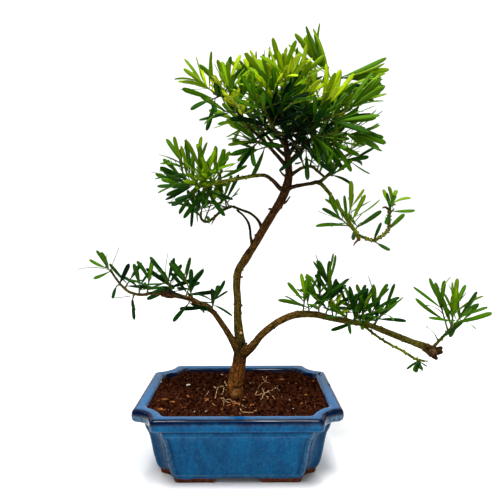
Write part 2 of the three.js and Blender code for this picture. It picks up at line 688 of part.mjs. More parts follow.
// Grows a mass and returns its twigs' paths and its leaves. What isn't clear of other solids
// is turned aside, and is left out if that doesn't help.
function growMass(mass) {
  const random = seeded(mass.seed);
  const limb = limbs[mass.limb];
  const twigs = [];
  for (const [share, bearing, rise, length, count] of shootsOf(mass, random)) {
    const phase = 360 * random();
    const path = TWIG.turns
      .map((aside) => twigPath(limb.at(share), compass(bearing + aside, rise), length))
      .find((option) => isClear(mass.name, twigBalls(option), null));
    if (!path) continue;
    twigs.push({ path, phase, count: Math.max(2, Math.round(count * LEAF.countShare)) });
    for (const ball of twigBalls(path)) taken.push({ owner: mass.name, twig: path, ...ball });
  }
  const leaves = [];
  for (const { path, phase, count } of twigs) {
    for (let i = 0; i < count; i += 1) {
      const place = mix(LEAF.firstLeaf, 1, i / (count - 1));
      const turn = phase + i * GOLDEN_ANGLE + LEAF.turnSpread * (random() - 0.5);
      const closed = mix(LEAF.baseTilt, LEAF.tipTilt, place ** LEAF.tiltFall);
      const tilt = (closed + LEAF.tiltSpread * (random() - 0.5)) * mass.spread;
      const swell = LEAF.smallest + LEAF.longer * Math.sin(Math.PI * place ** LEAF.longestAt);
      const size = mass.leaf * swell * (LEAF.sizeLow + LEAF.sizeRange * random());
      const leaf = LEAF.turns
        .map((aside) => placeLeaf(path, place, radians(turn + aside), radians(tilt), size))
        .find((option) => isClear(mass.name, leafBalls(option), path));
      if (!leaf) continue;
      leaves.push(leaf);
      for (const ball of leafBalls(leaf)) taken.push({ owner: mass.name, twig: leaf, ...ball });
    }
  }
  return { twigs: twigs.map((twig) => twig.path), leaves };
}

// ---- Pot and soil ----

function arc(middleX, middleY, radius, fromDegrees, toDegrees, steps) {
  const points = [];
  for (let step = 0; step <= steps; step += 1) {
    const angle = radians(mix(fromDegrees, toDegrees, step / steps));
    points.push([middleX + radius * Math.cos(angle), middleY + radius * Math.sin(angle)]);
  }
  return points;
}

// A rectangle with a round hollow taken out of each corner, drawn in all round by inward,
// anticlockwise seen from above. The hollows' middles are the rectangle's own corners.
function hollowedOutline(rectangleX, rectangleY, hollow, inward, round, height) {
  const halfX = rectangleX - inward;
  const halfY = rectangleY - inward;
  const radius = hollow + inward;
  const reach = Math.sqrt((radius + round) ** 2 - (inward + round) ** 2);
  const turn = THREE.MathUtils.radToDeg(Math.atan2(reach, inward + round));
  const far = reach - inward;
  const corner = [
    ...arc(halfX - round, halfY - far, round, 0, turn, POT.tipSteps),
    ...arc(rectangleX, rectangleY, radius, 180 + turn, 270 - turn, POT.hollowSteps).slice(1, -1),
    ...arc(halfX - far, halfY - round, round, 90 - turn, 90, POT.tipSteps),
  ];
  const mirrored = (signX, signY) => corner.map(([x, y]) => [x * signX, y * signY]);
  const outline = [
    ...corner,
    ...mirrored(-1, 1).reverse(),
    ...mirrored(-1, -1),
    ...mirrored(1, -1).reverse(),
  ];
  return outline.map(([x, y]) => new THREE.Vector3(x, y, height));
}

// One row of the profile, drawn in by a further amount.
function potRing([height, inset, hollow, drawn], further) {
  const inward = drawn + further;
  return hollowedOutline(POT.halfX - inset, POT.halfY - inset, hollow, inward, POT.tipRound, height);
}

// The inside of the pot, or the soil that fills it with a gap all round.
function cavityRing(height, gap) {
  const depth = POT.height - height;
  const inward = POT.wall + gap + depth * POT.taper;
  const hollow = POT.rimHollow + depth * POT.cornerTaper;
  return hollowedOutline(POT.halfX, POT.halfY, hollow, inward, POT.insideRound, height);
}

// A gap between two feet, along Y, that flares towards the ground.
function archCutter(size, length) {
  const flat = (POT.archFlat * size) / 2;
  const ground = (POT.archGround * size) / 2;
  const shape = new THREE.Shape();
  shape.moveTo(-ground, -1);
  shape.lineTo(ground, -1);
  shape.lineTo(ground, 0);
  shape.quadraticCurveTo(flat, POT.footHeight / 2, flat, POT.footHeight);
  shape.lineTo(-flat, POT.footHeight);
  shape.quadraticCurveTo(-flat, POT.footHeight / 2, -ground, 0);
  const geometry = new THREE.ExtrudeGeometry(shape, { depth: length, bevelEnabled: false, curveSegments: 3 });
  geometry.translate(0, 0, -length / 2);
  geometry.rotateX(Math.PI / 2);
  return geometry;
}

// The field that is sunk into the wall on the -Y side, reaching in from the rim's outside.
function panelCutter(wallHalf, wallOut) {
  const lowHalf = wallHalf - POT.panelMargin;
  const highHalf = lowHalf + POT.panelFlare;
  const shape = new THREE.Shape();
  shape.moveTo(-lowHalf, POT.panelLow);
  shape.lineTo(lowHalf, POT.panelLow);
  shape.lineTo(highHalf, POT.panelHigh);
  shape.lineTo(-highHalf, POT.panelHigh);
  const geometry = new THREE.ExtrudeGeometry(shape, { depth: wallOut / 2, bevelEnabled: false });
  geometry.rotateX(Math.PI / 2);
  geometry.translate(0, -wallOut / 2, 0);
  return geometry;
}

function potSolid() {
  const outside = toSolid(loft(POT_PROFILE.map((row) => potRing(row, 0))));
  const cavityHeights = [POT.floorTop, SOIL.lowest, POT.height + 1];
  const cavity = toSolid(loft(cavityHeights.map((height) => cavityRing(height, 0))));
  const [, ...footRow] = POT_PROFILE[0];
  const underside = toSolid(
    loft([-1, POT.footHeight].map((height) => potRing([height, ...footRow], POT.footRing))),
  );
  const core = toSolid(
    loft(POT_PROFILE.slice(0, BODY_ROWS).map((row) => potRing(row, POT.panelDepth))),
  );
  const cutters = [cavity, underside];
  for (const quarter of [0, 1, 2, 3]) {
    const long = quarter % 2 === 0;
    const panel = long ? panelCutter(POT.halfX, POT.halfY) : panelCutter(POT.halfY, POT.halfX);
    panel.rotateZ((quarter * Math.PI) / 2);
    cutters.push(toSolid(panel).subtract(core));
  }
  cutters.push(toSolid(archCutter(1, 2 * POT.halfY)));
  const sideArch = archCutter(POT.sideArch, 2 * POT.halfX);
  sideArch.rotateZ(Math.PI / 2);
  cutters.push(toSolid(sideArch));
  for (const side of [-1, 1]) {
    const hole = new THREE.CylinderGeometry(POT.holeRadius, POT.holeRadius, 3 * POT.floorTop, 16);
    hole.rotateX(Math.PI / 2);
    hole.translate(side * POT.holeOffset, 0, POT.floorTop);
    cutters.push(toSolid(hole));
  }
  return wholeBody(cutters.reduce((pot, cutter) => pot.subtract(cutter), outside));
}

// Soil level, uneven away from the trunk's flat foot and level under it.
function soilHeight(x, y, share) {
  const long = SOIL.longWave * Math.sin(x / SOIL.longX + 1) * Math.cos(y / SOIL.longY);
  const short = SOIL.shortWave * Math.sin(x / SOIL.shortX + y / SOIL.shortY);
  const fade = THREE.MathUtils.smoothstep(share, SOIL.flatShare, SOIL.roughShare);
  return mix(SOIL.flat, SOIL.edge + long + short, fade);
}

function soilSolid() {
  const rings = [cavityRing(POT.floorTop + GAP, GAP)];
  const rim = cavityRing(SOIL.lowest, GAP);
  for (const share of [1, SOIL.roughShare, 0.4, SOIL.flatShare]) {
    rings.push(
      rim.map((point) => {
        const x = mix(TRUNK_FOOT.x, point.x, share);
        const y = mix(TRUNK_FOOT.y, point.y, share);
        return new THREE.Vector3(x, y, soilHeight(x, y, share));
      }),
    );
  }
  return wholeBody(toSolid(loft(rings)));
}

// ---- Assembly ----

const FINISH = {
  pot: { color: 0x1f6fae, roughness: 0.18, metalness: 0 },
  soil: { color: 0x3a2318, roughness: 1, metalness: 0 },
  bark: { color: 0x7a4a26, roughness: 0.85, metalness: 0 },
  foliage: { color: 0x4f8f22, roughness: 0.5, metalness: 0 },
};

const bonsai = new THREE.Group();
bonsai.name = 'podocarpus_bonsai';

function addNode(name, solid, finish) {
  const geometry = toGeometry(solid).toNonIndexed();
  geometry.computeVertexNormals();
  const mesh = new THREE.Mesh(geometry, new THREE.MeshStandardMaterial(FINISH[finish]));
  mesh.name = name;
  bonsai.add(mesh);
}

addNode('pot', potSolid(), 'pot');
addNode('soil', soilSolid(), 'soil');
addNode('trunk', trunkSolid(), 'bark');
takeLimb('trunk', limbs.trunk, 0, 1);

for (const [name, limb, from, to, clearOf] of BOUGHS) {
  addNode(name, limbSolid(name, limbs[limb], from, to, BOUGH_STYLE, clearOf), 'bark');
  takeLimb(name, limbs[limb], from, to);
}

const stems = new Map();
for (const { name, limb, from, to, meets } of MASSES) {
  stems.set(name, limbSolid(name, limbs[limb], from, to, STEM_STYLE, meets));
  takeLimb(name, limbs[limb], from, to);
}

for (const mass of MASSES) {
  const { twigs, leaves } = growMass(mass);
  const pieces = [stems.get(mass.name), ...twigs.map(twigSolid), ...leaves.map(leafSolid)];
  let solid = joined(pieces);
  for (const other of mass.meets) solid = solid.subtract(fatSolids.get(other));
  addNode(mass.name, wholeBody(solid), 'foliage');
}

// The part's own frame: centred under its box, with the feet on the ground.
const box = new THREE.Box3().setFromObject(bonsai);
const middle = box.getCenter(new THREE.Vector3());
bonsai.position.set(-middle.x, -middle.y, -box.min.z);

export default bonsai;
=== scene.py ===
# Dresses the podocarpus bonsai: limbs with bark, finer twigs and leaves grown by the source's rule,
# a glazed pot with rounded edges, crumbly soil, a pale floor, soft light and the camera.
# Lengths are worked out in millimetres from the middle of the pot's underside, and are turned
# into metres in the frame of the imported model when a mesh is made.
from collections import namedtuple
from math import atan2, cos, degrees, exp, hypot, pi, radians, sin, sqrt, tau
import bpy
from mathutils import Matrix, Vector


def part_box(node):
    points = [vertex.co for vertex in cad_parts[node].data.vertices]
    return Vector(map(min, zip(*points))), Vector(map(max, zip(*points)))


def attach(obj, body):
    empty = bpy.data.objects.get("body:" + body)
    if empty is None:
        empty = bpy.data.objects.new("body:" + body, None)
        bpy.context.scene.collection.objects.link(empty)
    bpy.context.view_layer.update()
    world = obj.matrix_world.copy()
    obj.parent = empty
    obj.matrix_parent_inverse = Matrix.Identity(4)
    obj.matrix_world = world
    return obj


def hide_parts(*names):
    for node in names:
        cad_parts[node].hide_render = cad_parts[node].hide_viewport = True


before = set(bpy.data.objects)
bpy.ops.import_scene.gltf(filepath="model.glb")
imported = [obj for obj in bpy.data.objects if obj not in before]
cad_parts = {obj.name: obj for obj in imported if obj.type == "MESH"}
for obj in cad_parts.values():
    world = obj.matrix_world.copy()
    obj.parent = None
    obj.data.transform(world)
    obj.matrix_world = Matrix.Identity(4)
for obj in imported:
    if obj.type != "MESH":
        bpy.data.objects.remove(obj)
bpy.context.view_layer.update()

from types import SimpleNamespace as Sizes

import bpy
import numpy as np
from mathutils import Matrix, Vector
from mathutils.noise import noise

MM = 0.001
pot_low, pot_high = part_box("pot")
SHIFT = np.array([(pot_low.x + pot_high.x) / 2, (pot_low.y + pot_high.y) / 2, pot_low.z])
UP = np.array([0.0, 0.0, 1.0])
GOLDEN_ANGLE = 137.5


def to_frame(points):
    """Millimetres from the middle of the pot's underside to metres in the model's frame."""
    return np.asarray(points, float) * MM + SHIFT


def add_object(name, data):
    made = bpy.data.objects.new(name, data)
    bpy.context.scene.collection.objects.link(made)
    return made


def table(text):
    """Rows of numbers from text: spaces part the numbers and commas the rows."""
    return [[float(word) for word in row.split()] for row in text.split(",")]


# ---- Camera: fitted to the pot's rim and feet in a 500 by 500 image ----

CAMERA = Sizes(place=(10.7, -450.6, 249.9), focal=432.27, pitch=0.06682, yaw=0.00331, roll=-0.00198)
IMAGE_SIDE, SENSOR = 500, 36.0

camera = add_object("camera", bpy.data.cameras.new("camera"))
camera.data.sensor_width = SENSOR
camera.data.lens = CAMERA.focal / IMAGE_SIDE * SENSOR
camera.matrix_world = (
    Matrix.Translation(to_frame(CAMERA.place)) @ Matrix.Rotation(-CAMERA.yaw, 4, "Z")
    @ Matrix.Rotation(pi / 2 - CAMERA.pitch, 4, "X") @ Matrix.Rotation(CAMERA.roll, 4, "Z")
)
bpy.context.scene.camera = camera

# ---- Limbs: points down the middle of each as x, y, z, with its radius there ----

LIMBS = {
    "trunk": """
        -3 -6 60 8, -4 -6 77 7.6, -2 -5 88 7.6, 0 -4 100 6.8, 2 -2 112 7, 1 0 126 5.4, -1 1 145 4.1,
        -1 2 167 3.7, -2 3 183 3.7, 0 4 198 3.9, 7 5 209 4.1, 20 6 230 3.9, 32 6 251 4, 45 5 272 4.3,
        51 4 287 4.5, 53 3 303 3.3, 51 2 318 3.3, 49 2 333 2.5, 48 3 346 1.7""",
    "lower_left": """
        0 -2 114 4, -9 -7 130 3.2, -16 -11 143 2.8, -26 -16 158 2.7, -36 -18 165 2.6, -46 -20 171 2.4,
        -56 -20 174 2.3, -71 -18 177 2.8, -88 -15 177 1.6, -99 -13 175 1.4, -110 -11 177 1.4,
        -117 -9 181 1.3, -128 -6 193 1.1, -132 -5 200 1""",
    "lower_right": """
        2 -3 109 4.5, 11 -9 117 4.2, 17 -11 124 3.7, 24 -13 133 3.6, 39 -15 146 3.6, 58 -14 154 3.5,
        79 -12 154 3.3, 98 -9 149 3, 116 -6 145 2.8, 136 -4 141 2.8, 149 -2 136 3.1, 165 0 129 3.3,
        184 3 121 3.4, 200 5 115 3.8, 212 6 110 4.2""",
    "tip_right": "207 5 112 1.7, 212 4 119 1.5, 218 2 127 1.4, 224 0 135 1.6, 230 -2 142 1.2",
    "hanging_twig": """
        129 -4 142 1.4, 142 -12 132 1.4, 153 -16 125 1.3, 167 -19 118 1.4, 180 -21 110 1.3,
        189 -22 108 1.1""",
    "mid_left": """
        49 4 281 2.6, 43 0 284 2.2, 36 -4 291 2, 28 -7 296 1.9, 21 -9 296 1.9, 8 -12 294 1.8,
        -6 -15 291 1.7, -21 -17 288 1.8, -34 -16 285 1.8, -42 -14 287 1.6""",
    "thin_upper": "25 6 239 2, 23 9 247 1.6, 18 12 254 1.4, 11 14 259 1.3, 3 15 262 1.3, -7 15 266 1.5",
    "thin_lower": "15 6 224 1.8, 13 2 233 1.3, 12 1 243 1.2, 10 2 249 1.2, 6 5 255 1.1, -2 13 262 1.1",
    "curl": "-7 15 266 1.5, -18 14 261 1.5, -27 12 253 1.3, -34 10 249 1.3, -39 9 252 1.4, -40 9 260 1.2",
    "mid_right": """
        52 4 284 2.4, 56 1 285 1.9, 66 -3 287 1.8, 74 -6 288 1.8, 82 -8 289 2.1, 88 -11 283 1.8,
        93 -14 276 1.8, 97 -17 268 1.8, 103 -20 260 1.8, 108 -22 252 2, 112 -24 245 1.9, 117 -25 238 1.9,
        120 -26 230 1.5""",
    "fork_up": "81 -8 288 1.7, 89 -6 294 1.6, 96 -3 301 1.5, 104 1 311 1.4, 117 5 320 1.1",
    "loop": """
        117 -25 237 1.5, 125 -28 233 1.4, 132 -30 231 1.4, 138 -32 234 1.5, 143 -33 238 1.5,
        146 -34 243 1.5, 146 -34 249 1.4, 146 -34 256 1.4, 146 -34 263 1.3""",
    "link": "53 3 296 1.9, 60 2 301 1.7, 67 2 305 1.6, 76 1 306 1.6, 83 -2 300 1.4, 89 -6 294 1.3",
    "crown_left": """
        51 3 306 2.2, 42 -2 315 1.9, 34 -6 323 1.7, 23 -10 333 1.6, 14 -13 341 1.5, 4 -15 353 1.4,
        -3 -16 361 1.4, -13 -17 371 1.3, -24 -18 375 1.2""",
    "crown_center": "49 2 329 1.9, 47 -9 340 1.7, 44 -18 354 1.6, 44 -23 367 1.5, 47 -26 381 1.2",
    "crown_right": """
        51 3 317 2.2, 58 3 327 1.9, 64 4 339 1.8, 69 6 350 1.7, 77 8 365 1.6, 86 10 376 1.5, 94 11 386 1.4,
        101 10 400 1.2""",
    "crown_right_low": """
        53 3 311 1.9, 59 -5 317 1.7, 64 -9 324 1.6, 70 -11 330 1.5, 79 -12 333 1.4, 91 -12 335 1.3,
        102 -12 339 1.2""",
    "crown_right_mid": "48 2 338 1.8, 60 -10 343 1.6, 73 -18 346 1.5, 88 -23 349 1.4, 104 -27 354 1.2",
    "crown_front": "51 2 322 1.8, 45 -11 328 1.6, 37 -25 337 1.5, 29 -37 347 1.4, 24 -44 358 1.2",
    "crown_back": "50 3 325 1.9, 49 16 339 1.7, 50 28 360 1.5, 55 38 380 1.4, 60 42 396 1.2",
    "crown_back_left": "51 3 316 1.9, 41 14 327 1.7, 30 26 343 1.5, 18 35 358 1.4, 6 40 374 1.2",
    "crown_back_right": "52 3 308 1.9, 62 15 319 1.7, 76 27 334 1.5, 91 36 347 1.4, 105 41 360 1.2",
    "crown_top_left": "48 3 343 1.5, 41 6 355 1.4, 32 8 370 1.3, 22 8 385 1.2, 13 6 395 1.1",
}

# ---- Sprays of foliage ----
# A heading is the name, its limb, the start and end of the stretch that it grows on, leaf length,
# how far the leaves spread, seed, tone from 0 (dark and old) to 4 (yellow and young), and how much
# the leaves face the front. A shoot is its share along the limb, bearing from +X towards +Y, rise
# above level, length, number of leaves and, for some, a change of tone. fill makes shoots that turn
# round the stem: how many, from, to, length, rise, leaves.

Mass = namedtuple("Mass", "name limb start end leaf spread seed tone front shoots fill")


def spray(heading, shoots="", fill=()):
    name, limb, *numbers = heading.split()
    return Mass(name, limb, *map(float, numbers), table(shoots) if shoots else [], fill)


MASSES = [
    spray("lower_left lower_left 0.292 1 26 1.45 12 -0.4 1", """
        0.31 -60 60 17 5, 0.35 -110 -10 9 2, 0.42 -15 -5 16 3, 0.43 140 60 27 9, 0.45 -110 -40 7 3,
        0.48 90 10 30 6, 0.55 -135 65 24 9, 0.59 90 20 28 7, 0.71 -65 60 17 5, 0.76 95 85 11 6,
        0.79 -125 -65 7 3, 0.86 60 45 11 4, 0.9 -100 -15 7 2, 0.98 -165 45 7 8 1.6"""),
    spray("mid_left mid_left 0.763 1 29 1.1 26 1.65 0.6", """
        0.79 -55 40 15 5, 0.83 80 45 23 7, 0.89 -70 -50 12 6, 0.9 -70 40 19 7, 0.93 140 80 24 9,
        0.95 85 25 29 8, 0.97 -150 50 27 10, 0.98 170 25 23 9, 0.96 -150 0 22 8, 0.94 -160 -50 16 8,
        0.99 125 0 27 7"""),
    spray("mid_left_lower curl 0.01 1 25 1.2 33 0.7 1", """
        0.06 -135 55 18 8, 0.1 160 15 20 6, 0.13 105 50 18 6, 0.92 25 80 13 9, 0.82 150 55 17 6,
        0.75 -40 60 21 6"""),
    spray("lower_right_inner lower_right 0.3215 0.6985 28 1.25 50 0.45 1", """
        0.35 -85 65 21 8, 0.38 90 30 22 6, 0.42 -90 75 25 8, 0.45 65 30 28 7, 0.49 -155 78 46 16,
        0.55 -90 68 25 6, 0.575 -60 35 19 7, 0.585 65 30 29 7, 0.61 -140 20 28 6, 0.63 -110 72 21 6,
        0.65 0 70 28 10, 0.67 -40 50 26 5, 0.68 55 20 25 6"""),
    spray("lower_right_tip tip_right 0 1 32 1.1 59 1 0.7", """
        0.3 -135 40 11 2, 0.68 -150 65 39 11, 0.82 50 75 24 7, 0.76 -110 40 27 5, 0.95 -50 65 13 8,
        0.92 40 5 21 5"""),
    spray("hanging_twig hanging_twig 0 1 9 1.2 66 1.6 1", "0.93 -90 -60 3 3"),
    spray("drooping_spray mid_right 0.702 1 28 1.1 77 1.5 1", """
        0.76 40 60 13 5, 0.8 -35 45 10 4, 0.89 60 20 13 4, 0.9 -160 35 22 8, 0.94 170 -10 8 3"""),
    spray("loop loop 0 1 20 1.3 94 1.5 1", """
        0.29 -70 -20 7 2, 0.57 60 30 9 2, 0.88 -75 30 7 4, 0.97 0 70 6 6 0.2"""),
    spray("right_under fork_up 0 1 25 1.1 99 1.2 0.1", """
        0.24 -45 10 9 4, 0.37 -145 50 18 7, 0.49 -95 70 19 8, 0.69 125 55 22 7, 0.75 20 -5 16 5,
        0.92 0 65 11 6"""),
    spray("link link 0 1 23 1.1 101 1.1 0.1", "0.4 -120 55 14 5, 0.54 -75 55 19 7, 0.74 60 55 15 5"),
    spray("crown_left crown_left 0.223 0.6 31 1 111 1.7 1", """
        0.32 -155 5 17 8, 0.28 140 -10 18 6, 0.38 -120 -35 22 6, 0.42 -60 25 25 8, 0.54 120 5 13 4,
        0.57 -55 50 19 9"""),
    spray("crown_far_left crown_left 0.603 1 29 1.1 130 1.75 1", """
        0.7 -145 -5 16 7, 0.74 50 65 20 9, 0.81 -75 60 19 9, 0.89 90 60 23 9, 0.93 -125 -30 18 5,
        0.97 -170 35 16 12"""),
    spray("crown_center crown_center 0.205 1 30 0.9 139 2.9 1", """
        0.25 -140 10 23 7, 0.33 -40 20 20 7, 0.54 -135 25 27 9, 0.59 -35 25 27 8, 0.77 -150 40 29 11,
        0.81 -5 45 27 9, 0.92 -175 65 9 9, 0.96 -55 65 8 8, 0.98 -100 10 25 7"""),
    spray("crown_right crown_right 0.223 1 41 0.45 144 2.4 1", """
        0.33 120 45 27 7 -1.8, 0.43 -35 10 19 7, 0.58 180 65 24 7 -1.2, 0.65 35 5 25 6, 0.85 -35 -10 19 8,
        0.95 -172 50 20 11, 0.98 -10 -4 16 10"""),
    spray("crown_right_low crown_right_low 0.244 1 34 0.75 155 1.9 0.25", """
        0.28 -115 10 20 6, 0.44 -75 -50 20 6, 0.53 -85 30 18 7, 0.64 50 -35 16 7, 0.78 -40 -40 19 7,
        0.9 30 35 19 7, 0.97 -5 -15 18 10"""),
    spray("crown_right_mid crown_right_mid 0 1 38 0.55 166 2.3 1", """
        0.32 -55 -40 19 6, 0.51 -70 45 18 8, 0.7 -30 -15 21 8, 0.81 30 45 21 8, 0.95 -5 35 16 10"""),
    spray("crown_front crown_front 0 1 30 1 177 2 1", fill=(6, 0.4, 0.98, 20, 20, 8)),
    spray("crown_top_left crown_top_left 0 1 29 0.9 188 2.3 1", fill=(7, 0.35, 0.98, 14, 35, 8)),
    spray("crown_back crown_back 0 1 33 0.9 199 1.5 1", fill=(8, 0.3, 0.95, 20, 15, 8)),
    spray("crown_back_left crown_back_left 0 1 32 1 211 1.7 1", fill=(7, 0.35, 0.98, 22, 15, 8)),
    spray("crown_back_right crown_back_right 0 1 32 1 222 1.5 0.5", fill=(7, 0.35, 0.98, 22, 15, 8)),
]

# Tufts of further leaves among the sprays of the same name.
TUFTS = [
    spray("crown_far_left crown_left 0.603 1 14 1.1 301 5 1", """
        0.74 -100 40 8 9, 0.82 -80 15 9 9, 0.64 -85 50 9 8, 0.9 -95 60 9 8"""),
    spray("mid_left mid_left 0.763 1 13 1 302 2.7 1", "0.82 -95 20 9 8, 0.9 -100 55 10 8, 0.97 -95 10 8 8"),
    spray("loop loop 0 1 11 0.8 303 4.4 1", "0.99 -60 75 4 5"),
    spray("lower_right_inner lower_right 0.3215 0.6985 13 1 304 2.2 1", """
        0.5 -110 65 20 7, 0.62 -95 25 8 6"""),
    spray("crown_right crown_right 0.223 1 33 0.7 305 0.9 1", """
        0.42 105 62 20 9, 0.55 100 50 22 9, 0.7 110 55 20 9, 0.38 60 70 18 8"""),
    spray("hanging_twig hanging_twig 0 1 12 0.8 306 1.2 1", "0.9 -120 -75 3 7, 0.98 -60 10 3 0"),
]

LEAF = Sizes(
    width=0.04, broad=3.5, widest=0.4, to_front=1.4, thickness=0.36, edge=1.2, sink=0.4, core=0.9,
    base_tilt=60, tip_tilt=20, first=0.28, to_light=0.08, turns=(0, 25, -25, 50, -50, 80, -80, 110, -110),
    turn_spread=30, tilt_spread=22, tilt_fall=1.3, smallest=0.85, longer=0.3, longest_at=0.8,
    size_low=0.84, size_range=0.3, balls=np.array([0.2, 0.35, 0.5, 0.65, 0.8, 0.95]), outer=0.3,
    bend=1.3, bend_middle=0.35, twist=0.8, rough=0.6,
)
TWIG = Sizes(
    radius=0.95, tip_radius=0.6, lift=0.05, turns=(0, 20, -20, 40, -40),
    balls=np.array([0.3, 0.5, 0.7, 0.9, 1.0]), outer=0.4, sides=7, ring=1.2, foot=0.5, foot_length=1.5,
    knots=0.16, knot_turn=2.4, young_tone=2.4,
)
# The rings of a bud: how far past the twig's end, and the share of its radius.
BUD = np.array([[0.8, 1.25], [1.6, 1.1], [2.4, 0.6], [2.9, 0.12]])
FILL = Sizes(turn_spread=36, rise_spread=40, shortest=0.85, length_range=0.3)
TONE = Sizes(shoot=1.5, rise=1.1, along=0.9, middle=0.55, leaf=1.3)
# Painted shade: inside this ellipsoid the leaves' tone is lowered, most near its middle, so they take the
# darker, old colours.
CROWN = Sizes(middle=np.array([46, 0, 342]), reach=np.array([46, 80, 47]), core=0.55, shade=3.7)
FRONT = np.array([0.0, -0.85, 0.53])  # where the window is that the leaves have turned to
GAP = 0.3  # between the balls of different masses
BARK = Sizes(
    round=1.1, along=0.07, lumps=0.13, height=0.075, collar_length=2.2, end_cap=0.1,
    collar=0.45, thin_collar=0.2, thin=1.5, ring=0.8,
)


def seeded(seed):
    """The same stream of numbers from 0 to 1 as the source's, for the same seed."""
    state = [int(seed)]

    def draw():
        state[0] = (state[0] + 0x6D2B79F5) & 0xFFFFFFFF
        a = state[0]
        value = ((a ^ (a >> 15)) * (1 | a)) & 0xFFFFFFFF
        value = ((value + (((value ^ (value >> 7)) * (61 | value)) & 0xFFFFFFFF)) ^ value) & 0xFFFFFFFF
        return (value ^ (value >> 14)) / 4294967296

    return draw


def unit(vector):
    return vector / np.linalg.norm(vector)


def mix(a, b, share):
    return a + (b - a) * share


def smooth(low, high, value):
    t = np.clip((value - low) / (high - low), 0, 1)
    return t * t * (3 - 2 * t)


def hill(value, width):
    return np.exp(-((value / width) ** 2))


def compass(bearing, rise):
    a, e = radians(bearing), radians(rise)
    return np.array([cos(e) * cos(a), cos(e) * sin(a), sin(e)])


def swing(a, b, angle):
    """What a becomes when it turns towards b."""
    angle = np.asarray(angle)[..., None]
    return a * np.cos(angle) + b * np.sin(angle)


def across_of(axis):
    """Two directions square to an axis and to each other."""
    aside = np.cross(axis, UP)
    if np.linalg.norm(aside) < 0.2:
        aside = np.array([1.0, 0.0, 0.0]) - axis * axis[0]
    aside = unit(aside)
    return aside, np.cross(aside, axis)


# ---- Meshes ----


def set_attribute(mesh, key, values):
    kind, field = ("FLOAT", "value") if values.ndim == 1 else ("FLOAT_VECTOR", "vector")
    mesh.attributes.new(key, kind, "POINT").data.foreach_set(field, values.astype(np.float32).ravel())


class Heap:
    """Gathers small meshes, with their attributes, into one piece that rides on the root body."""

    def __init__(self):
        self.points, self.quads, self.triangles, self.slots, self.extra, self.count = [], [], [], [], {}, 0

    def add(self, points, quads=(), triangles=(), slots=0, **extra):
        self.points.append(points)
        self.quads.append(np.reshape(quads, (-1, 4)) + self.count)
        self.triangles.append(np.reshape(triangles, (-1, 3)) + self.count)
        self.slots.append(np.broadcast_to(slots, len(quads)))
        for key, values in extra.items():
            self.extra.setdefault(key, []).append(values)
        self.count += len(points)

    def piece(self, name, materials, slot, smooth_shaded=True):
        quads, triangles = np.concatenate(self.quads), np.concatenate(self.triangles)
        loops = np.concatenate([quads.ravel(), triangles.ravel()]).astype(np.int32)
        sizes = np.repeat([4, 3], [len(quads), len(triangles)])
        slots = np.concatenate([*self.slots, np.zeros(len(triangles))])
        mesh = bpy.data.meshes.new(name)
        mesh.vertices.add(self.count)
        mesh.vertices.foreach_set("co", to_frame(np.concatenate(self.points)).ravel())
        mesh.loops.add(len(loops))
        mesh.loops.foreach_set("vertex_index", loops)
        mesh.polygons.add(len(sizes))
        mesh.polygons.foreach_set("loop_start", (np.cumsum(sizes) - sizes).astype(np.int32))
        mesh.polygons.foreach_set("material_index", slots.astype(np.int32))
        mesh.polygons.foreach_set("use_smooth", np.full(len(sizes), smooth_shaded))
        for material in materials:
            mesh.materials.append(material)
        for key, values in self.extra.items():
            set_attribute(mesh, key, np.concatenate(values))
        mesh.update(calc_edges=True)
        mesh.validate()
        piece = add_object(name, mesh)
        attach(piece, "root")
        return piece


def ring_quads(rows, columns):
    """Quads between neighbouring rings of points."""
    row, column = np.meshgrid(np.arange(rows - 1), np.arange(columns), indexing="ij")
    low, turn = row * columns + column, row * columns + (column + 1) % columns
    return np.stack([low, turn, turn + columns, low + columns], -1).reshape(-1, 4)


def tube(rings, low, high):
    """Points, quads and triangles of rings that are closed by fans round one more point at each end."""
    rows, count = rings.shape[:2]
    here, turn, last = np.arange(count), np.roll(np.arange(count), -1), (rows - 1) * count
    ends = np.full((2, count), [[rows * count], [rows * count + 1]])
    fans = np.hstack([(ends[0], turn, here), (ends[1], last + here, last + turn)]).T
    return np.vstack([rings.reshape(-1, 3), low, high]), ring_quads(rows, count), fans


# ---- Limbs ----


class Limb:
    """A centripetal Catmull-Rom curve through points, measured by its length."""

    STEPS = 24

    def __init__(self, points):
        points = np.asarray(points, float)
        places, radii = points[:, :3], points[:, 3]
        guides = np.vstack([2 * places[0] - places[1], places, 2 * places[-1] - places[-2]])
        dense, wide = [], []
        for i in range(len(places) - 1):
            p0, p1, p2, p3 = guides[i:i + 4]
            d0, d1, d2 = (max(np.linalg.norm(b - a), 1e-4) ** 0.5 for a, b in ((p0, p1), (p1, p2), (p2, p3)))
            m1 = ((p1 - p0) / d0 - (p2 - p0) / (d0 + d1) + (p2 - p1) / d1) * d1
            m2 = ((p2 - p1) / d1 - (p3 - p1) / (d1 + d2) + (p3 - p2) / d2) * d1
            for t in np.linspace(0, 1, self.STEPS + 1)[: None if i == len(places) - 2 else -1]:
                dense.append(
                    p1 + m1 * t + (-3 * p1 + 3 * p2 - 2 * m1 - m2) * t**2 + (2 * p1 - 2 * p2 + m1 + m2) * t**3
                )
                wide.append(mix(radii[i], radii[i + 1], t))
        self.places, self.radii = np.array(dense), np.array(wide)
        steps = np.linalg.norm(np.diff(self.places, axis=0), axis=1)
        along = np.concatenate([[0], np.cumsum(steps)])
        self.length = along[-1]
        self.shares = along / self.length
        self.headings = np.gradient(self.places, along, axis=0)

    def read(self, values, share):
        return np.stack([np.interp(share, self.shares, column) for column in values.T], -1)

    def at(self, share):
        return self.read(self.places, share)

    def radius(self, share):
        return np.interp(share, self.shares, self.radii)


limbs = {name: Limb(table(points)) for name, points in LIMBS.items()}


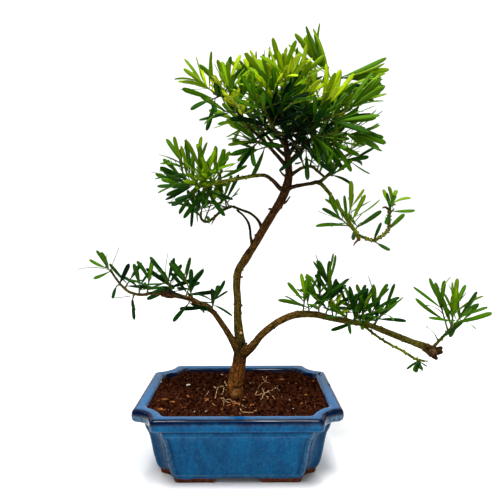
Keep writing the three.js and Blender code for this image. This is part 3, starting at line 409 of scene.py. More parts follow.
def frames_along(headings):
    """Two directions across a path at each of its points, turned as little as possible."""
    asides, aside = [], across_of(headings[0])[0]
    for heading in headings:
        aside = unit(aside - heading * np.dot(aside, heading))
        asides.append(aside)
    return np.array(asides), np.cross(headings, asides)


def relief(x, y, along, radius, rough):
    """Height of the bark in millimetres: long ridges, cross cracks and fine grain."""
    ridge = 1 - 2 * abs(noise((x * 0.55, y * 0.55, along * 0.16)))
    flake = noise((x * 0.9, y * 0.9, along * 0.42 + 40))
    grain = noise((x * 2.1, y * 2.1, along * 1.3 + 90))
    return rough * (BARK.height * radius ** 0.5) * (1.1 * ridge + 0.9 * flake + 0.5 * grain)


def add_scars(rings, middles, along, angles, pitch, height, width):
    """Raises small leaf scars that turn round a young limb."""
    place, turn = pitch, 0
    while place < along[-1]:
        outward = rings - middles[:, None]
        radius = np.linalg.norm(outward, axis=2)
        off = np.abs((angles - turn + pi) % tau - pi)
        near = hill(along - place, width)[:, None] * hill(off * radius, width)
        rings += outward * (height * near / radius)[..., None]
        place += pitch
        turn += radians(GOLDEN_ANGLE)


def add_limb(heap, limb, sides, spacing, rough, tones, start=0, swell=None, collar=0, scars=()):
    """A tube with bark relief. tones are rows of (share, orange, green, pale) along it."""
    steps = max(4, int((1 - start) * limb.length / spacing))
    shares = np.linspace(start, 1, steps + 1)
    middles, headings, radii = limb.at(shares), limb.read(limb.headings, shares), limb.radius(shares)
    headings /= np.linalg.norm(headings, axis=1, keepdims=True)
    asides, others = (side[:, None] for side in frames_along(headings))
    angles = np.linspace(0, tau, sides, endpoint=False)
    along = (shares - start) * limb.length
    radii = radii * (1 + collar * np.exp(-along / (BARK.collar_length * radii[0])))
    tail = np.clip((along[-1] - along) / radii[-1], 0, 1)
    radii = radii * np.sqrt(np.clip(1 - (1 - tail) ** 2, 0.02, 1))
    reach, marks, cracks = [], [], []
    for radius, height, far in zip(radii, middles[:, 2], along + 10 * limb.places[0, 0] + limb.places[0, 2]):
        for angle in angles:
            x, y = cos(angle), sin(angle)
            wide = radius * (swell(angle, height) if swell else 1)
            wide *= 1 + BARK.lumps * noise((BARK.round * x, BARK.round * y, far * BARK.along))
            bump = relief(radius * x, radius * y, far, radius, rough)
            reach.append(wide + bump)
            marks.append((radius * x, radius * y, far))
            cracks.append(bump / (rough * BARK.height * max(radius, 0.1) ** 0.5 + 1e-6))
    rings = middles[:, None] + swing(asides, others, angles) * np.reshape(reach, (-1, sides, 1))
    if scars:
        add_scars(rings, middles, along, angles, *scars)
    share = np.repeat(np.linspace(0, 1, steps + 1), sides)
    places, *stops = np.array(tones).T
    tone = np.column_stack([np.interp(share, places, stop) for stop in stops])
    ends = middles[0] - headings[0] * BARK.end_cap, middles[-1] + headings[-1] * BARK.end_cap
    heap.add(
        *tube(rings, *ends), bark=np.vstack([marks, marks[:1], marks[-1:]]),
        tone=np.vstack([tone, tone[:1], tone[-1:]]), crack=np.array([*cracks, 0, 0]),
    )


# ---- Growth: the source's rule, with every leaf, finer twigs and buds ----

STEM = -2  # what stands for a twig's number in the wood that twigs grow on


class Taken:
    """Balls along all that is in place: x, y, z, radius, mass (-1 is bare wood) and twig (-1 is a leaf)."""

    def __init__(self, room=60000):
        self.room, self.count = np.zeros((room, 6)), 0

    def add(self, middles, *rest):
        """rest is the radius, the mass and the twig, each one number or one for each ball."""
        rest = [np.broadcast_to(value, len(middles)) for value in rest]
        self.room[self.count:self.count + len(middles)] = np.column_stack([middles, *rest])
        self.count += len(middles)

    def is_clear(self, middles, outer, core, owner, twig):
        """Only the outer balls keep off what is the same mass's, and none keeps off its own twig."""
        balls = self.room[:self.count]
        apart = np.linalg.norm(balls[:, :3] - middles[:, None], axis=2)
        same = balls[:, 4] == owner
        mine = (balls[:, 5] == twig) & (same | (twig != STEM))
        need = np.where(mine, 0, np.where(same, 0, GAP) + balls[:, 3] + core)
        return ((same & ~outer[:, None]) | (apart > need)).all()


taken = Taken()
twigs, leaves = [], []
Leaf = namedtuple("Leaf", "foot along face side length tone bend twist")


class Twig(namedtuple("Twig", "start heading length lift tone index")):
    def at(self, share):
        share = np.asarray(share)[..., None]
        return self.start + self.heading * self.length * share + UP * self.lift * share**2

    def direction(self, share):
        return unit(self.heading + UP * 2 * self.lift * share / self.length)


def place_leaf(twig, share, turn, tilt, front):
    """A leaf leans out from its twig by tilt, a little to the light, and turns its face to the front."""
    axis = twig.direction(share)
    outward = swing(*across_of(axis), turn)
    along = unit(swing(axis, outward, tilt) + UP * LEAF.to_light)
    face = swing(-outward, axis, tilt)
    face = face + FRONT * front * (1 if np.dot(face, FRONT) > 0 else -1)
    face = unit(face - along * np.dot(face, along))
    return twig.at(share), along, face, np.cross(along, face)


def shoots_of(mass, draw):
    shoots = list(mass.shoots)
    if mass.fill:
        count, start, end, length, rise, leaf_count = mass.fill
        for i in range(count):
            share = mix(start, end, (i + 0.5) / count)
            bearing = i * GOLDEN_ANGLE + FILL.turn_spread * draw()
            steep = rise + FILL.rise_spread * (draw() - 0.5)
            long = length * (FILL.shortest + FILL.length_range * draw())
            shoots.append((share, bearing, steep, long, leaf_count))
    return shoots


def grow(mass, owner):
    """Adds the twigs and leaves of one mass, the same shoots as its solid has."""
    draw, looks = seeded(mass.seed), seeded(mass.seed + 1000)
    shoots = []
    for share, bearing, rise, length, count, *shade in shoots_of(mass, draw):
        phase = 360 * draw()
        tone = mass.tone + sum(shade) + TONE.shoot * (looks() - 0.5) + TONE.rise * sin(radians(rise))
        for aside in TWIG.turns:
            heading = compass(bearing + aside, rise)
            lift = length * TWIG.lift * hypot(heading[0], heading[1])
            twig = Twig(limbs[mass.limb].at(share), heading, length, lift, tone, len(twigs))
            balls = twig.at(TWIG.balls)
            if taken.is_clear(balls, TWIG.balls > TWIG.outer, TWIG.radius, owner, STEM):
                taken.add(balls, TWIG.radius, owner, twig.index)
                twigs.append(twig)
                shoots.append((twig, phase, int(count)))
                break
    for twig, phase, count in shoots:
        for i in range(count):
            place = mix(LEAF.first, 1, i / max(count - 1, 1))
            turn = phase + i * GOLDEN_ANGLE + LEAF.turn_spread * (draw() - 0.5)
            tilt = mix(LEAF.base_tilt, LEAF.tip_tilt, place ** LEAF.tilt_fall)
            tilt = radians((tilt + LEAF.tilt_spread * (draw() - 0.5)) * mass.spread)
            swell = LEAF.smallest + LEAF.longer * sin(pi * place ** LEAF.longest_at)
            size = mass.leaf * swell * (LEAF.size_low + LEAF.size_range * draw())
            tone = twig.tone + TONE.along * (place - TONE.middle) + TONE.leaf * (looks() - 0.5)
            # Painted shade: leaves deep in the crown are given a lower, darker tone.
            depth = np.linalg.norm((twig.at(place) + twig.heading * size / 2 - CROWN.middle) / CROWN.reach)
            tone -= CROWN.shade * (1 - smooth(CROWN.core, 1, depth))
            bend, twist = LEAF.bend * (looks() - LEAF.bend_middle), LEAF.twist * (looks() - 0.5)
            front = LEAF.to_front * mass.front * looks()
            for aside in LEAF.turns:
                foot, along, face, side = place_leaf(twig, place, radians(turn + aside), tilt, front)
                balls = foot + along * size * LEAF.balls[:, None]
                if taken.is_clear(balls, LEAF.balls > LEAF.outer, LEAF.core, owner, twig.index):
                    taken.add(balls, LEAF.core, owner, -1)
                    leaves.append(Leaf(foot - along * LEAF.sink, along, face, side, size, tone, bend, twist))
                    break


# ---- Leaves as thin closed blades, all of one tone in one piece ----

# Places along a blade, and half its width there.
STATIONS = np.array([0, 0.05, 0.12, 0.22, 0.36, 0.52, 0.68, 0.82, 0.91, 0.965, 0.99, 1.0])
HALF_WIDTHS = np.array([0.16, 0.19, 0.32, 0.54, 0.79, 0.94, 1.0, 0.97, 0.83, 0.58, 0.33, 0.06])
# The ten points round a blade, across its top and back along its underside: place across, and height.
COLUMNS = np.array([-1, -0.52, -0.09, 0.09, 0.52, 1, 0.5, 0.1, -0.1, -0.5])
HEIGHTS = np.array([-0.1, 0.1, 0.2, 0.2, 0.1, -0.1, -0.9, -1.15, -1.15, -0.9])
TOP, UNDER, RIB, UNDER_RIB = range(4)
COLUMN_SLOTS = [TOP, TOP, RIB, TOP, TOP, UNDER, UNDER, UNDER_RIB, UNDER, UNDER]
END_QUADS = np.array([(0, 1, 8, 9), (1, 2, 7, 8), (2, 3, 6, 7), (3, 4, 5, 6)])
BLADE_QUADS = np.vstack([
    ring_quads(len(STATIONS), len(COLUMNS))[:, ::-1], END_QUADS,
    END_QUADS[:, ::-1] + (len(STATIONS) - 1) * len(COLUMNS),
])
BLADE_SLOTS = COLUMN_SLOTS * (len(STATIONS) - 1) + [UNDER] * 2 * len(END_QUADS)


def add_leaves(heap, chosen):
    foot, along, face, side, length, _, bend, twist = (np.array(values)[:, None] for values in zip(*chosen))
    angle = bend * (STATIONS - LEAF.bend_middle)
    middle_angle = np.hstack([angle[:, :1], (angle[:, 1:] + angle[:, :-1]) / 2])
    step = np.diff(STATIONS, prepend=0) * length
    middle = foot + np.cumsum(swing(along, -face, middle_angle) * step[..., None], axis=1)
    upward, turn = swing(face, along, angle), twist * STATIONS
    across, upward = swing(side, upward, turn), swing(upward, -side, turn)
    half = np.minimum(length * LEAF.width + LEAF.broad, length * LEAF.widest) / 2 * HALF_WIDTHS
    thick = np.minimum(LEAF.thickness, half * LEAF.edge)
    points = middle[:, :, None] + across[:, :, None] * (half[..., None] * COLUMNS)[..., None]
    points = points + upward[:, :, None] * (thick[..., None] * HEIGHTS)[..., None]
    firsts = np.arange(len(chosen))[:, None, None] * len(STATIONS) * len(COLUMNS)
    quads = (BLADE_QUADS + firsts).reshape(-1, 4)
    heap.add(points.reshape(-1, 3), quads, slots=np.tile(BLADE_SLOTS, len(chosen)))


def add_twig(heap, twig):
    """A young shoot with raised leaf feet that turn round it, and a pointed bud."""
    shares = np.linspace(0, 1, max(6, int(twig.length / TWIG.ring)) + 1)
    middles, headings = twig.at(shares), np.array([twig.direction(share) for share in shares])
    radii = mix(TWIG.radius, TWIG.tip_radius, shares)
    radii = radii * (1 + TWIG.foot * np.exp(-shares * twig.length / TWIG.foot_length))
    middles = np.vstack([middles, middles[-1] + headings[-1] * BUD[:, :1]])
    radii = np.append(radii, radii[-1] * BUD[:, 1])[:, None]
    asides, others = (
        np.vstack([side, np.repeat(side[-1:], len(BUD), 0)])[:, None] for side in frames_along(headings)
    )
    angles = np.linspace(0, tau, TWIG.sides, endpoint=False)
    turns = TWIG.knot_turn * np.arange(len(radii))[:, None]
    reach = radii * (1 + TWIG.knots * np.sin(turns) * np.cos(angles - turns))
    rings = middles[:, None] + swing(asides, others, angles) * reach[..., None]
    heap.add(*tube(rings, middles[0], middles[-1]))


# ---- Materials ----


def linear(*screen):
    """A screen colour from 0 to 255 as the renderer's own."""
    shares = [value / 255 for value in screen]
    return (*(v / 12.92 if v <= 0.04045 else ((v + 0.055) / 1.055) ** 2.4 for v in shares), 1.0)


class Shader:
    """A material's nodes, with short calls for the few kinds that are used here."""

    def __init__(self, name, base, roughness, specular=0.5):
        self.material = bpy.data.materials.new(name)
        self.material.use_nodes = True
        self.tree = self.material.node_tree
        self.set("Base Color", base)
        self.set("Roughness", roughness)
        self.set("Specular IOR Level", specular)
        self.where = self.node("TexCoord", {}, "Object")

    def feed(self, socket, value):
        if isinstance(value, bpy.types.NodeSocket):
            self.tree.links.new(value, socket)
        else:
            socket.default_value = value

    def set(self, key, value):
        self.feed(self.tree.nodes["Principled BSDF"].inputs[key], value)

    def node(self, kind, inputs, output=0, **settings):
        node = self.tree.nodes.new(f"ShaderNode{kind}")
        for key, value in settings.items():
            setattr(node, key, value)
        for key, value in inputs.items():
            self.feed(node.inputs[key], value)
        return node.outputs[output]

    def attribute(self, name, output="Fac"):
        return self.node("Attribute", {}, output, attribute_name=name)

    def scaled(self, where, scale):
        return self.node("Mapping", {"Vector": where, "Scale": scale})

    def noise(self, scale, detail, rough=0.55, where=None, distortion=0.0):
        return self.node("TexNoise", {
            "Vector": self.where if where is None else where, "Scale": scale, "Detail": detail,
            "Roughness": rough, "Distortion": distortion,
        }, "Fac")

    def ramp(self, factor, *stops):
        """stops are (place, colour or grey)."""
        made = self.node("ValToRGB", {"Fac": factor}, "Color")
        elements = made.node.color_ramp.elements
        while len(elements) < len(stops):
            elements.new(0.5)
        for element, (place, colour) in zip(elements, stops):
            element.position = place
            element.color = colour if isinstance(colour, tuple) else (colour, colour, colour, 1)
        return made

    def blend(self, factor, a, b, mode="MIX"):
        # A Mix node's colours are its inputs 6 and 7, and its output 2.
        return self.node("Mix", {0: factor, 6: a, 7: b}, 2, data_type="RGBA", blend_type=mode)

    def math(self, kind, a, b, clamp=False):
        return self.node("Math", {0: a, 1: b}, operation=kind, use_clamp=clamp)

    def add(self, a, b, clamp=False):
        return self.math("ADD", a, b, clamp)

    def times(self, a, b, clamp=False):
        return self.math("MULTIPLY", a, b, clamp)

    def bump(self, height, strength, distance):
        inputs = {"Height": height, "Strength": strength, "Distance": distance * MM}
        self.set("Normal", self.node("Bump", inputs))


def bark_material():
    made = Shader("bark", (0.2, 0.1, 0.05, 1), 0.85, 0.05)
    bark = made.attribute("bark", "Vector")

    def grain(detail, rough, scale):
        return made.noise(1.0, detail, rough, made.scaled(bark, scale))

    def wood(colours):
        return made.ramp(fine, *zip((0.32, 0.5, 0.68), (linear(*colour) for colour in table(colours))))

    fine, patch = grain(4, 0.65, (1.6, 1.6, 0.7)), grain(3, 0.6, (0.22, 0.22, 0.09))
    tone = made.node("SeparateXYZ", {0: made.attribute("tone", "Vector")}).node.outputs
    orange = made.times(tone[0], made.ramp(patch, (0.38, 0.3), (0.56, 1.0)), clamp=True)
    colour = made.blend(orange, wood("12 5 2, 50 31 12, 108 78 42"), wood("30 10 0, 102 56 10, 164 104 36"))
    colour = made.blend(tone[1], colour, wood("34 38 2, 90 102 10, 138 148 38"))
    colour = made.blend(tone[2], colour, linear(196, 160, 112))
    # Darker where pale is below 0: painted shade at the fork, under leaves and in the crown, and the dark
    # broken ends of the snags.
    dark_wood_and_shade = made.add(made.math("MINIMUM", tone[2], 0.0), 1.0, clamp=True)
    dark_wood_and_shade = made.times(dark_wood_and_shade, made.ramp(grain(3, 0.6, (0.5, 0.5, 0.16)), (0.36, 0.5), (0.5, 1.0)))
    colour = made.blend(1.0, colour, dark_wood_and_shade, "MULTIPLY")
    # Darker down in the bark's cracks and a little lighter on its ridges: the bark's own darker fissures,
    # with painted shade in them.
    crack = made.ramp(made.attribute("crack"), (0.0, 0.3), (0.5, 0.95), (1.0, 1.1))
    made.set("Base Color", made.blend(1.0, colour, crack, "MULTIPLY"))
    made.set("Roughness", made.add(made.times(fine, 0.2), 0.72))
    made.bump(fine, 0.8, 0.6)
    return made.material


# Colours of the top, the underside and the rib, from the painted shade deep in the crown and old leaves to
# young ones.
LEAF_TONES = {
    "deep": "1 22 2, 8 30 6, 8 32 6",
    "old": "8 40 4, 18 50 12, 22 56 10",
    "dark": "24 60 3, 36 70 12, 44 82 10",
    "green": "50 90 1, 62 98 12, 74 112 12",
    "fresh": "88 122 0, 96 126 12, 112 144 14",
    "young": "134 158 2, 140 162 26, 156 178 32",
    "yellow": "180 192 20, 178 188 44, 190 200 58",
}


def leaf_materials(name):
    top, under, rib = (linear(*colour) for colour in table(LEAF_TONES[name]))
    made = []
    for part, colour in (("top", top), ("under", under), ("rib", rib), ("under_rib", under)):
        shade = Shader(f"leaf_{name}_{part}", colour, LEAF.rough, 0.02)
        shade.set("Roughness", shade.add(shade.times(shade.noise(300, 2), 0.2), LEAF.rough - 0.1))
        shade.bump(shade.noise(900, 2), 0.12, 0.1)
        made.append(shade.material)
    return made


def twig_material(name, dark, light):
    made = Shader(name, dark, 0.75, 0.05)
    fine = made.noise(700, 3)
    made.set("Base Color", made.ramp(fine, (0.3, dark), (0.7, light)))
    made.bump(fine, 0.4, 0.2)
    return made.material


def glaze_material(name, specular):
    """Blue glaze darkened by painted shade and a painted dark reflection, and where it pools under the rim,
    with its rim top painted lighter; it breaks pale on the edges, over brown clay feet.
    """
    made = Shader(name, (0.02, 0.1, 0.25, 1), 0.1, specular)
    run = made.noise(70, 3, 0.6, made.scaled(made.where, (1, 1, 0.3)), 0.6)
    mottle, speck = made.noise(420, 4, 0.7), made.noise(1500, 2, 0.5)
    pool, bare = made.attribute("pool"), made.attribute("bare")
    blue = made.ramp(
        made.add(made.times(run, 0.5), made.times(mottle, 0.5)), (0.34, linear(0, 50, 86)),
        (0.46, linear(0, 68, 110)), (0.56, linear(0, 83, 128)), (0.7, linear(8, 99, 144)),
    )
    blue = made.blend(made.times(speck, 0.3), blue, linear(0, 58, 98))
    cloud = made.ramp(made.noise(170, 6, 0.8), (0.5, 0.0), (0.7, 0.3))
    blue = made.blend(cloud, blue, linear(44, 116, 156))
    # Painted light: the rim's flat top is paler, as lit from above.
    blue = made.blend(made.attribute("pale"), blue, linear(0, 68, 112))
    # Painted shade, a painted dark reflection and pooled glaze all give this dark navy.
    colour = made.blend(made.times(pool, 0.97), blue, linear(0, 6, 34))
    worn = made.times(made.attribute("edge"), made.add(mottle, 0.35), clamp=True)
    colour = made.blend(worn, colour, made.blend(mottle, linear(84, 122, 148), linear(150, 162, 162)))
    clay = made.ramp(made.noise(300, 4, 0.7), (0.35, linear(52, 20, 8)), (0.65, linear(104, 58, 36)))
    made.set("Base Color", made.blend(bare, colour, clay))
    matt = made.math("SUBTRACT", 0.2, made.times(pool, 0.13))
    made.set("Roughness", made.add(made.times(bare, 0.7), matt, clamp=True))
    made.bump(made.add(made.noise(60, 2), made.times(mottle, 0.15)), 0.1, 1.0)
    return made.material


def soil_material(name, dark, light):
    made = Shader(name, dark, 0.95, 0.0)
    fine = made.noise(900, 4, 0.7)
    coarse = made.add(made.times(fine, 0.6), made.times(made.noise(220, 3, 0.6), 0.4))
    made.set("Base Color", made.ramp(coarse, (0.42, dark), (0.6, light)))
    made.bump(fine, 0.8, 0.5)
    return made.material


bark = bark_material()

# ---- Trunk and boughs ----

FLARE = Sizes(
    start=0.02, foot=68.5, height=6, reach=0.22, lobes=5, turn=0.7, even=0.2,
    neck=76.5, neck_height=1.8, cut=0.15,
)


def root_flare(angle, height):
    fade = min(exp(-(height - FLARE.foot) / FLARE.height), 1)
    lobe = (1 + cos(FLARE.lobes * angle + FLARE.turn)) / 2
    neck = FLARE.cut * exp(-((height - FLARE.neck) / FLARE.neck_height) ** 2)
    return 1 + FLARE.reach * fade * mix(FLARE.even, 1, lobe) - neck


# Sides, roughness, and the spacing, height and width of the leaf scars; then the tones, each as its
# share along the limb, orange, green and pale, or darker where pale is below 0: painted shade at the
# low fork, where limbs leave the trunk, under leaves and inside the crown.
BARK_LOOKS = {
    "trunk": """
        44 1.7 9.7 1.4 1.1, 0 1 0 0.05, 0.1 1 0 0, 0.14 0.2 0 -0.2, 0.165 0 0.1 -0.6, 0.19 0 0.12 -0.65,
        0.215 0.1 0.2 -0.15, 0.24 0.1 0.22 0, 0.36 0.2 0.17 0, 0.5 0.3 0.08 0, 0.62 0.3 0 -0.12,
        0.8 0.2 0 -0.3, 1 0.1 0.05 -0.45""",
    "lower_left": """
        22 1 6.3 0.7 0.9, 0 0.35 0.06 -0.3, 0.15 0.35 0.06 0, 0.4 0.3 0.06 0, 0.7 0.1 0.06 -0.2,
        1 0.1 0.35 0""",
    "lower_right": """
        26 1.3 7.1 0.8 1.1, 0 0.4 0.06 -0.4, 0.1 0.4 0.06 0, 0.3 0.3 0.12 0, 0.6 0.1 0.3 0, 0.9 0 0.3 0,
        1 0.2 0 0""",
    "tip_right": "12 0.8 4.1 0.5 0.8, 0 0.1 0.3 0, 1 0 0.8 0",
    "hanging_twig": "10 0.8 4.2 0.5 0.8, 0 0 0.6 0, 1 0 0.9 0",
    "mid_left": "16 0.9 5.3 0.55 0.8, 0 0.1 0 -0.5, 0.25 0.1 0.1 -0.3, 0.4 0.1 0.8 0, 1 0 1 0.05",
    "thin_upper": "12 0.8 4.3 0.45 0.7, 0 0 0 -0.5, 1 0 0.3 -0.5",
    "thin_lower": "12 0.8 4.9 0.4 0.7, 0 0 0 -0.45, 1 0 0.3 -0.5",
    "curl": "12 0.8 4.1 0.45 0.7, 0 0 0.3 -0.4, 1 0 0.7 -0.3",
    "mid_right": "16 0.9 3.7 0.6 0.9, 0 0.1 0 -0.5, 0.3 0.1 0.1 -0.45, 0.4 0 0.9 0, 0.93 0 1 0, 1 0.8 0 0",
    "fork_up": "12 0.8 4.3 0.4 0.7, 0 0.1 0.5 0, 1 0 0.9 0",
    "loop": "14 0.6 2.9 0.95 0.75, 0 0 0.9 0, 1 0 1 0.15",
    "link": "12 0.8 4.7 0.4 0.7, 0 0.1 0.1 -0.4, 1 0.1 0.6 -0.2",
}
CROWN_LOOK = "14 0.8 5.1 0.4 0.7, 0 0.1 0 -0.5, 0.5 0 0.2 -0.4, 1 0 0.85 0"
BALL_SPACING = 2.5

# The CAD's boughs by limb. A limb also takes the place of the foliage that grows on it.
BOUGHS = {
    "trunk": "trunk", "lower_left": "lower_left_bough", "lower_right": "lower_right_rise lower_right_outer",
    "mid_left": "mid_left_bough", "thin_upper": "thin_upper_bough", "thin_lower": "thin_lower_bough",
    "mid_right": "mid_right_bough drooping_bough", "crown_left": "crown_left_bough",
    "crown_center": "crown_center_bough", "crown_right": "crown_right_bough",
    "crown_right_low": "crown_low_bough",
}
REPLACED = {
    name: BOUGHS.get(name, "").split() + [f"foliage_{mass.name}" for mass in MASSES if mass.limb == name]
    for name in limbs
}

for name, limb in limbs.items():
    heap = Heap()
    (sides, rough, *scars), *tones = table(BARK_LOOKS.get(name, CROWN_LOOK))
    if name == "trunk":
        foot = {"start": FLARE.start, "swell": root_flare}
    else:
        foot = {"collar": BARK.collar if limb.radii[0] > BARK.thin else BARK.thin_collar}
    add_limb(heap, limb, int(sides), BARK.ring, rough, tones, scars=scars, **foot)
    piece = heap.piece(f"bark_{name}", [bark], "bark")
    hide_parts(*REPLACED[name])
    shares = np.linspace(0, 1, int(limb.length / BALL_SPACING))
    owners = np.full(len(shares), -1)
    for owner, mass in enumerate(MASSES):
        if mass.limb == name:
            owners[(shares >= mass.start) & (shares <= mass.end)] = owner
    taken.add(limb.at(shares), limb.radius(shares), owners, STEM)

# Old wood that stands off the limbs: a root at the trunk's foot, stubs of lost twigs, and broken ends.
# Each has its tone (orange, green, pale) and its points.
SNAGS = [
    "1 0 0.06, -8 -12 70 2.4, -5 -14.2 70.5 4.2, -1 -12.5 70 3.4",
    "0.9 0 0, -5 -8 84 3.5, -8.5 -11.5 77 3.6, -8 -13 70 3.2",
    "0.1 0.05 -0.3, 198 4 114.5 3.4, 206 3.5 110.5 4.9, 212 4 108.5 4.2",
    "0.2 0 0.12, 203 1.5 113 2, 206.5 -0.5 111.5 2.5, 210 0 110 1.8",
    "0.1 0 -0.3, 205 5 112.5 3.2, 213 4.5 112 3, 218.5 4 114.5 1.7",
    "0.1 0 -0.35, 206 6 110 3, 213 5 108.5 3, 219 4 110 1.8",
    "0.15 0 -0.35, 205 5 109 3.2, 209.5 3.5 105 2.9, 212.5 2.5 101.5 1.6",
    "0.1 0 -0.3, 201 4 112 2.8, 204 2.5 107.5 2.2, 205.5 2 104.5 1.2",
    "0.1 0 0, -77 -18.5 176.5 2.2, -70 -20 176.5 3.9, -63 -19.5 174.5 2.4",
    "0 0 1, 2.2 -2.5 132.6 1.6, 2.5 -5.9 132.8 1.4",
    "0 0.1 0, 5.5 -5 117 2.2, 7 -7 120 1.5, 9 -8.5 124 0.8",
    "0.2 0 0, 0 2 190.5 1.4, 5 0.5 191.6 0.8",
    "0.1 0 0, 48 3 268 1.3, 50.8 1.5 270.8 1, 54.2 1 275.8 0.6",
    "0.1 0 0, 50 1 295.5 1.5, 46.5 0.5 298 1.1, 43 1 302 0.6",
    "0.1 0 0, 30 4 242 1.6, 25.8 2.5 245.5 0.9",
    "0.1 0 0, 36 4 262 1.6, 31.2 2 262.5 0.9",
    "0.1 0 0, 1 2 160 1.5, 4.4 0 161.8 0.9",
    "0.6 0 0, 119 -25.5 231.5 1, 115.5 -27 228.5 0.8, 113.5 -27.5 225.5 0.5",
    "0.4 0 0, 145.5 -34 261 1.2, 141.5 -35 263 0.9, 138.5 -36 262 0.5",
]
heap = Heap()
for tone, *points in map(table, SNAGS):
    add_limb(heap, Limb(points), 14, 0.6, 1.6, ((0, *tone), (1, *tone)))
heap.piece("bark_snags", [bark], "bark")

# Feet of fallen leaves on the green wood: from, to and how many on each limb.
PEGS = {
    "loop": (0.12, 0.98, 46), "mid_right": (0.42, 0.97, 22), "mid_left": (0.4, 0.97, 20),
    "curl": (0.1, 0.8, 14), "hanging_twig": (0.08, 0.97, 22), "tip_right": (0.2, 0.95, 12),
}
PEG = Sizes(length=2.5, foot=1.05, tip=0.45, lean=0.7, sunk=0.6)
heap = Heap()
for name, (start, end, count) in PEGS.items():
    for i in range(count):
        share = mix(start, end, (i + 0.5) / count)
        low, high = limbs[name].at([share, share + 0.01])
        axis, reach = unit(high - low), limbs[name].radius(share) * PEG.sunk
        outward = unit(swing(*across_of(axis), radians(i * GOLDEN_ANGLE)) + axis * PEG.lean)
        points = [
            (*(low + outward * (reach + PEG.length * step)), mix(PEG.foot, PEG.tip, step))
            for step in (0, 0.5, 1)
        ]
        add_limb(heap, Limb(points), 7, 0.5, 0.5, ((0, 0, 0.9, 0), (1, 0.1, 0.5, -0.3)))
heap.piece("bark_pegs", [bark], "bark")

# ---- Foliage ----

for owner, mass in enumerate(MASSES):
    grow(mass, owner)
for tuft in TUFTS:
    grow(tuft, [mass.name for mass in MASSES].index(tuft.name))

for name, dark, light, low, high in (
    ("young", linear(78, 104, 14), linear(116, 138, 34), TWIG.young_tone, np.inf),
    ("old", linear(40, 46, 10), linear(78, 84, 28), -np.inf, TWIG.young_tone),
):
    heap = Heap()
    for twig in twigs:
        if low <= twig.tone < high:
            add_twig(heap, twig)
    heap.piece(f"twigs_{name}", [twig_material(f"twig_{name}", dark, light)], "leaves")

tone_edges = [-np.inf, *(np.arange(len(LEAF_TONES) - 1) - 0.5), np.inf]
for name, low, high in zip(LEAF_TONES, tone_edges, tone_edges[1:]):
    heap = Heap()
    add_leaves(heap, [leaf for leaf in leaves if low <= leaf.tone < high])
    heap.piece(f"leaves_{name}", leaf_materials(name), "leaves")

# ---- Pot ----

POT = Sizes(
    half_x=101, half_y=76, height=72, rim_hollow=22, tip_round=4, inside_round=9, wall=12.5, taper=0.33,
    corner_taper=0.12, foot_ring=9, foot_height=6, arch_flat=40, arch_ground=48, side_arch=0.6, floor=11,
    hole_radius=7, hole_offset=42, clay_height=4.6, rim_gloss=66,
)
PANEL = Sizes(depth=1.5, low=8, high=50.5, margin=41.5, flare=7.5, edge=1.8, wall=30)
# The wall's profile from the ground up: inset from the rim's outside, how far the outline is drawn
# in, height, and radius of the hollow corners.
OUTSIDE = table("""
    23.8 0 0 16.5, 22.8 0 4.5 16.7, 20.9 0 8 16.9, 18.9 0 15 17.2, 17.2 0 24 17.6, 15.7 0 34 17.9,
    13.8 0 44 18.2, 11.4 0 51 18.4, 10.2 0 57 18.6
""")
LIP = table("""
    9.8 0 58 18.8, 8.6 0 58.7 19.1, 6.4 0 59 19.8, 3.8 0 59.5 20.6, 1.7 0 60.6 21.4, 0.5 0 62.2 21.8,
    0 0 64.5 22, 0 0 67.5 22, 0 0.4 69.6 22, 0 1.5 71.1 22, 0 3.2 71.9 22, 0 5.4 72.1 22, 0 7.6 72.1 22,
    0 9.6 71.8 22, 0 11.2 71 22, 0 12.6 69.6 22.3, 0 13.8 67.4 22.6, 0 15 64 23
""")
TIP_STEPS, HOLLOW_STEPS, LONG_STEPS, SHORT_STEPS = 5, 18, 110, 76


def arc(x, y, radius, start, end, steps):
    angles = np.radians(np.linspace(start, end, steps + 1))
    return np.stack([x + radius * np.cos(angles), y + radius * np.sin(angles)], -1)


def tip_place(rectangle, hollow, inward, rounding):
    """Where a rounded tip between a side and a hollow corner has its middle, and how far it turns."""
    reach = sqrt((hollow + inward + rounding) ** 2 - (inward + rounding) ** 2)
    return rectangle - reach, degrees(atan2(reach, inward + rounding))


def outline(rectangle_x, rectangle_y, hollow, inward, rounding):
    """A rectangle with quarter-circle hollows at its corners, drawn in, with rounded tips."""
    half_x, half_y = rectangle_x - inward, rectangle_y - inward
    low, turn = tip_place(rectangle_y, hollow, inward, rounding)
    far = tip_place(rectangle_x, hollow, inward, rounding)[0]
    corner = np.vstack([
        arc(half_x - rounding, low, rounding, 0, turn, TIP_STEPS),
        arc(rectangle_x, rectangle_y, hollow + inward, 180 + turn, 270 - turn, HOLLOW_STEPS)[1:-1],
        arc(far, half_y - rounding, rounding, 90 - turn, 90, TIP_STEPS),
    ])
    quarters = [corner, corner[::-1] * (-1, 1), corner * (-1, -1), corner[::-1] * (1, -1)]
    rows = []
    for quarter, after, steps in zip(quarters, quarters[1:] + quarters[:1], (LONG_STEPS, SHORT_STEPS) * 2):
        rows += [quarter, np.linspace(quarter[-1], after[0], steps + 1)[1:-1]]
    return np.vstack(rows)


def inside_outline(height, gap):
    low = POT.height - height
    hollow, inward = POT.rim_hollow + low * POT.corner_taper, POT.wall + gap + low * POT.taper
    return outline(POT.half_x, POT.half_y, hollow, inward, POT.inside_round)


def level(ring, height):
    return np.column_stack([ring, np.full(len(ring), height)])


def outside_rows(profile, spacing):
    """Rows of (inset, drawn in, height, hollow) along a smooth profile."""
    curve = Limb(profile)
    shares = np.linspace(0, 1, max(2, int(curve.length / spacing)) + 1)
    return np.column_stack([curve.at(shares), curve.radius(shares)])


def panel_reach(z):
    """What to add to half a wall's length for half the width of its sunk field, at height z."""
    return PANEL.flare * (z - PANEL.low) / (PANEL.high - PANEL.low) - PANEL.margin


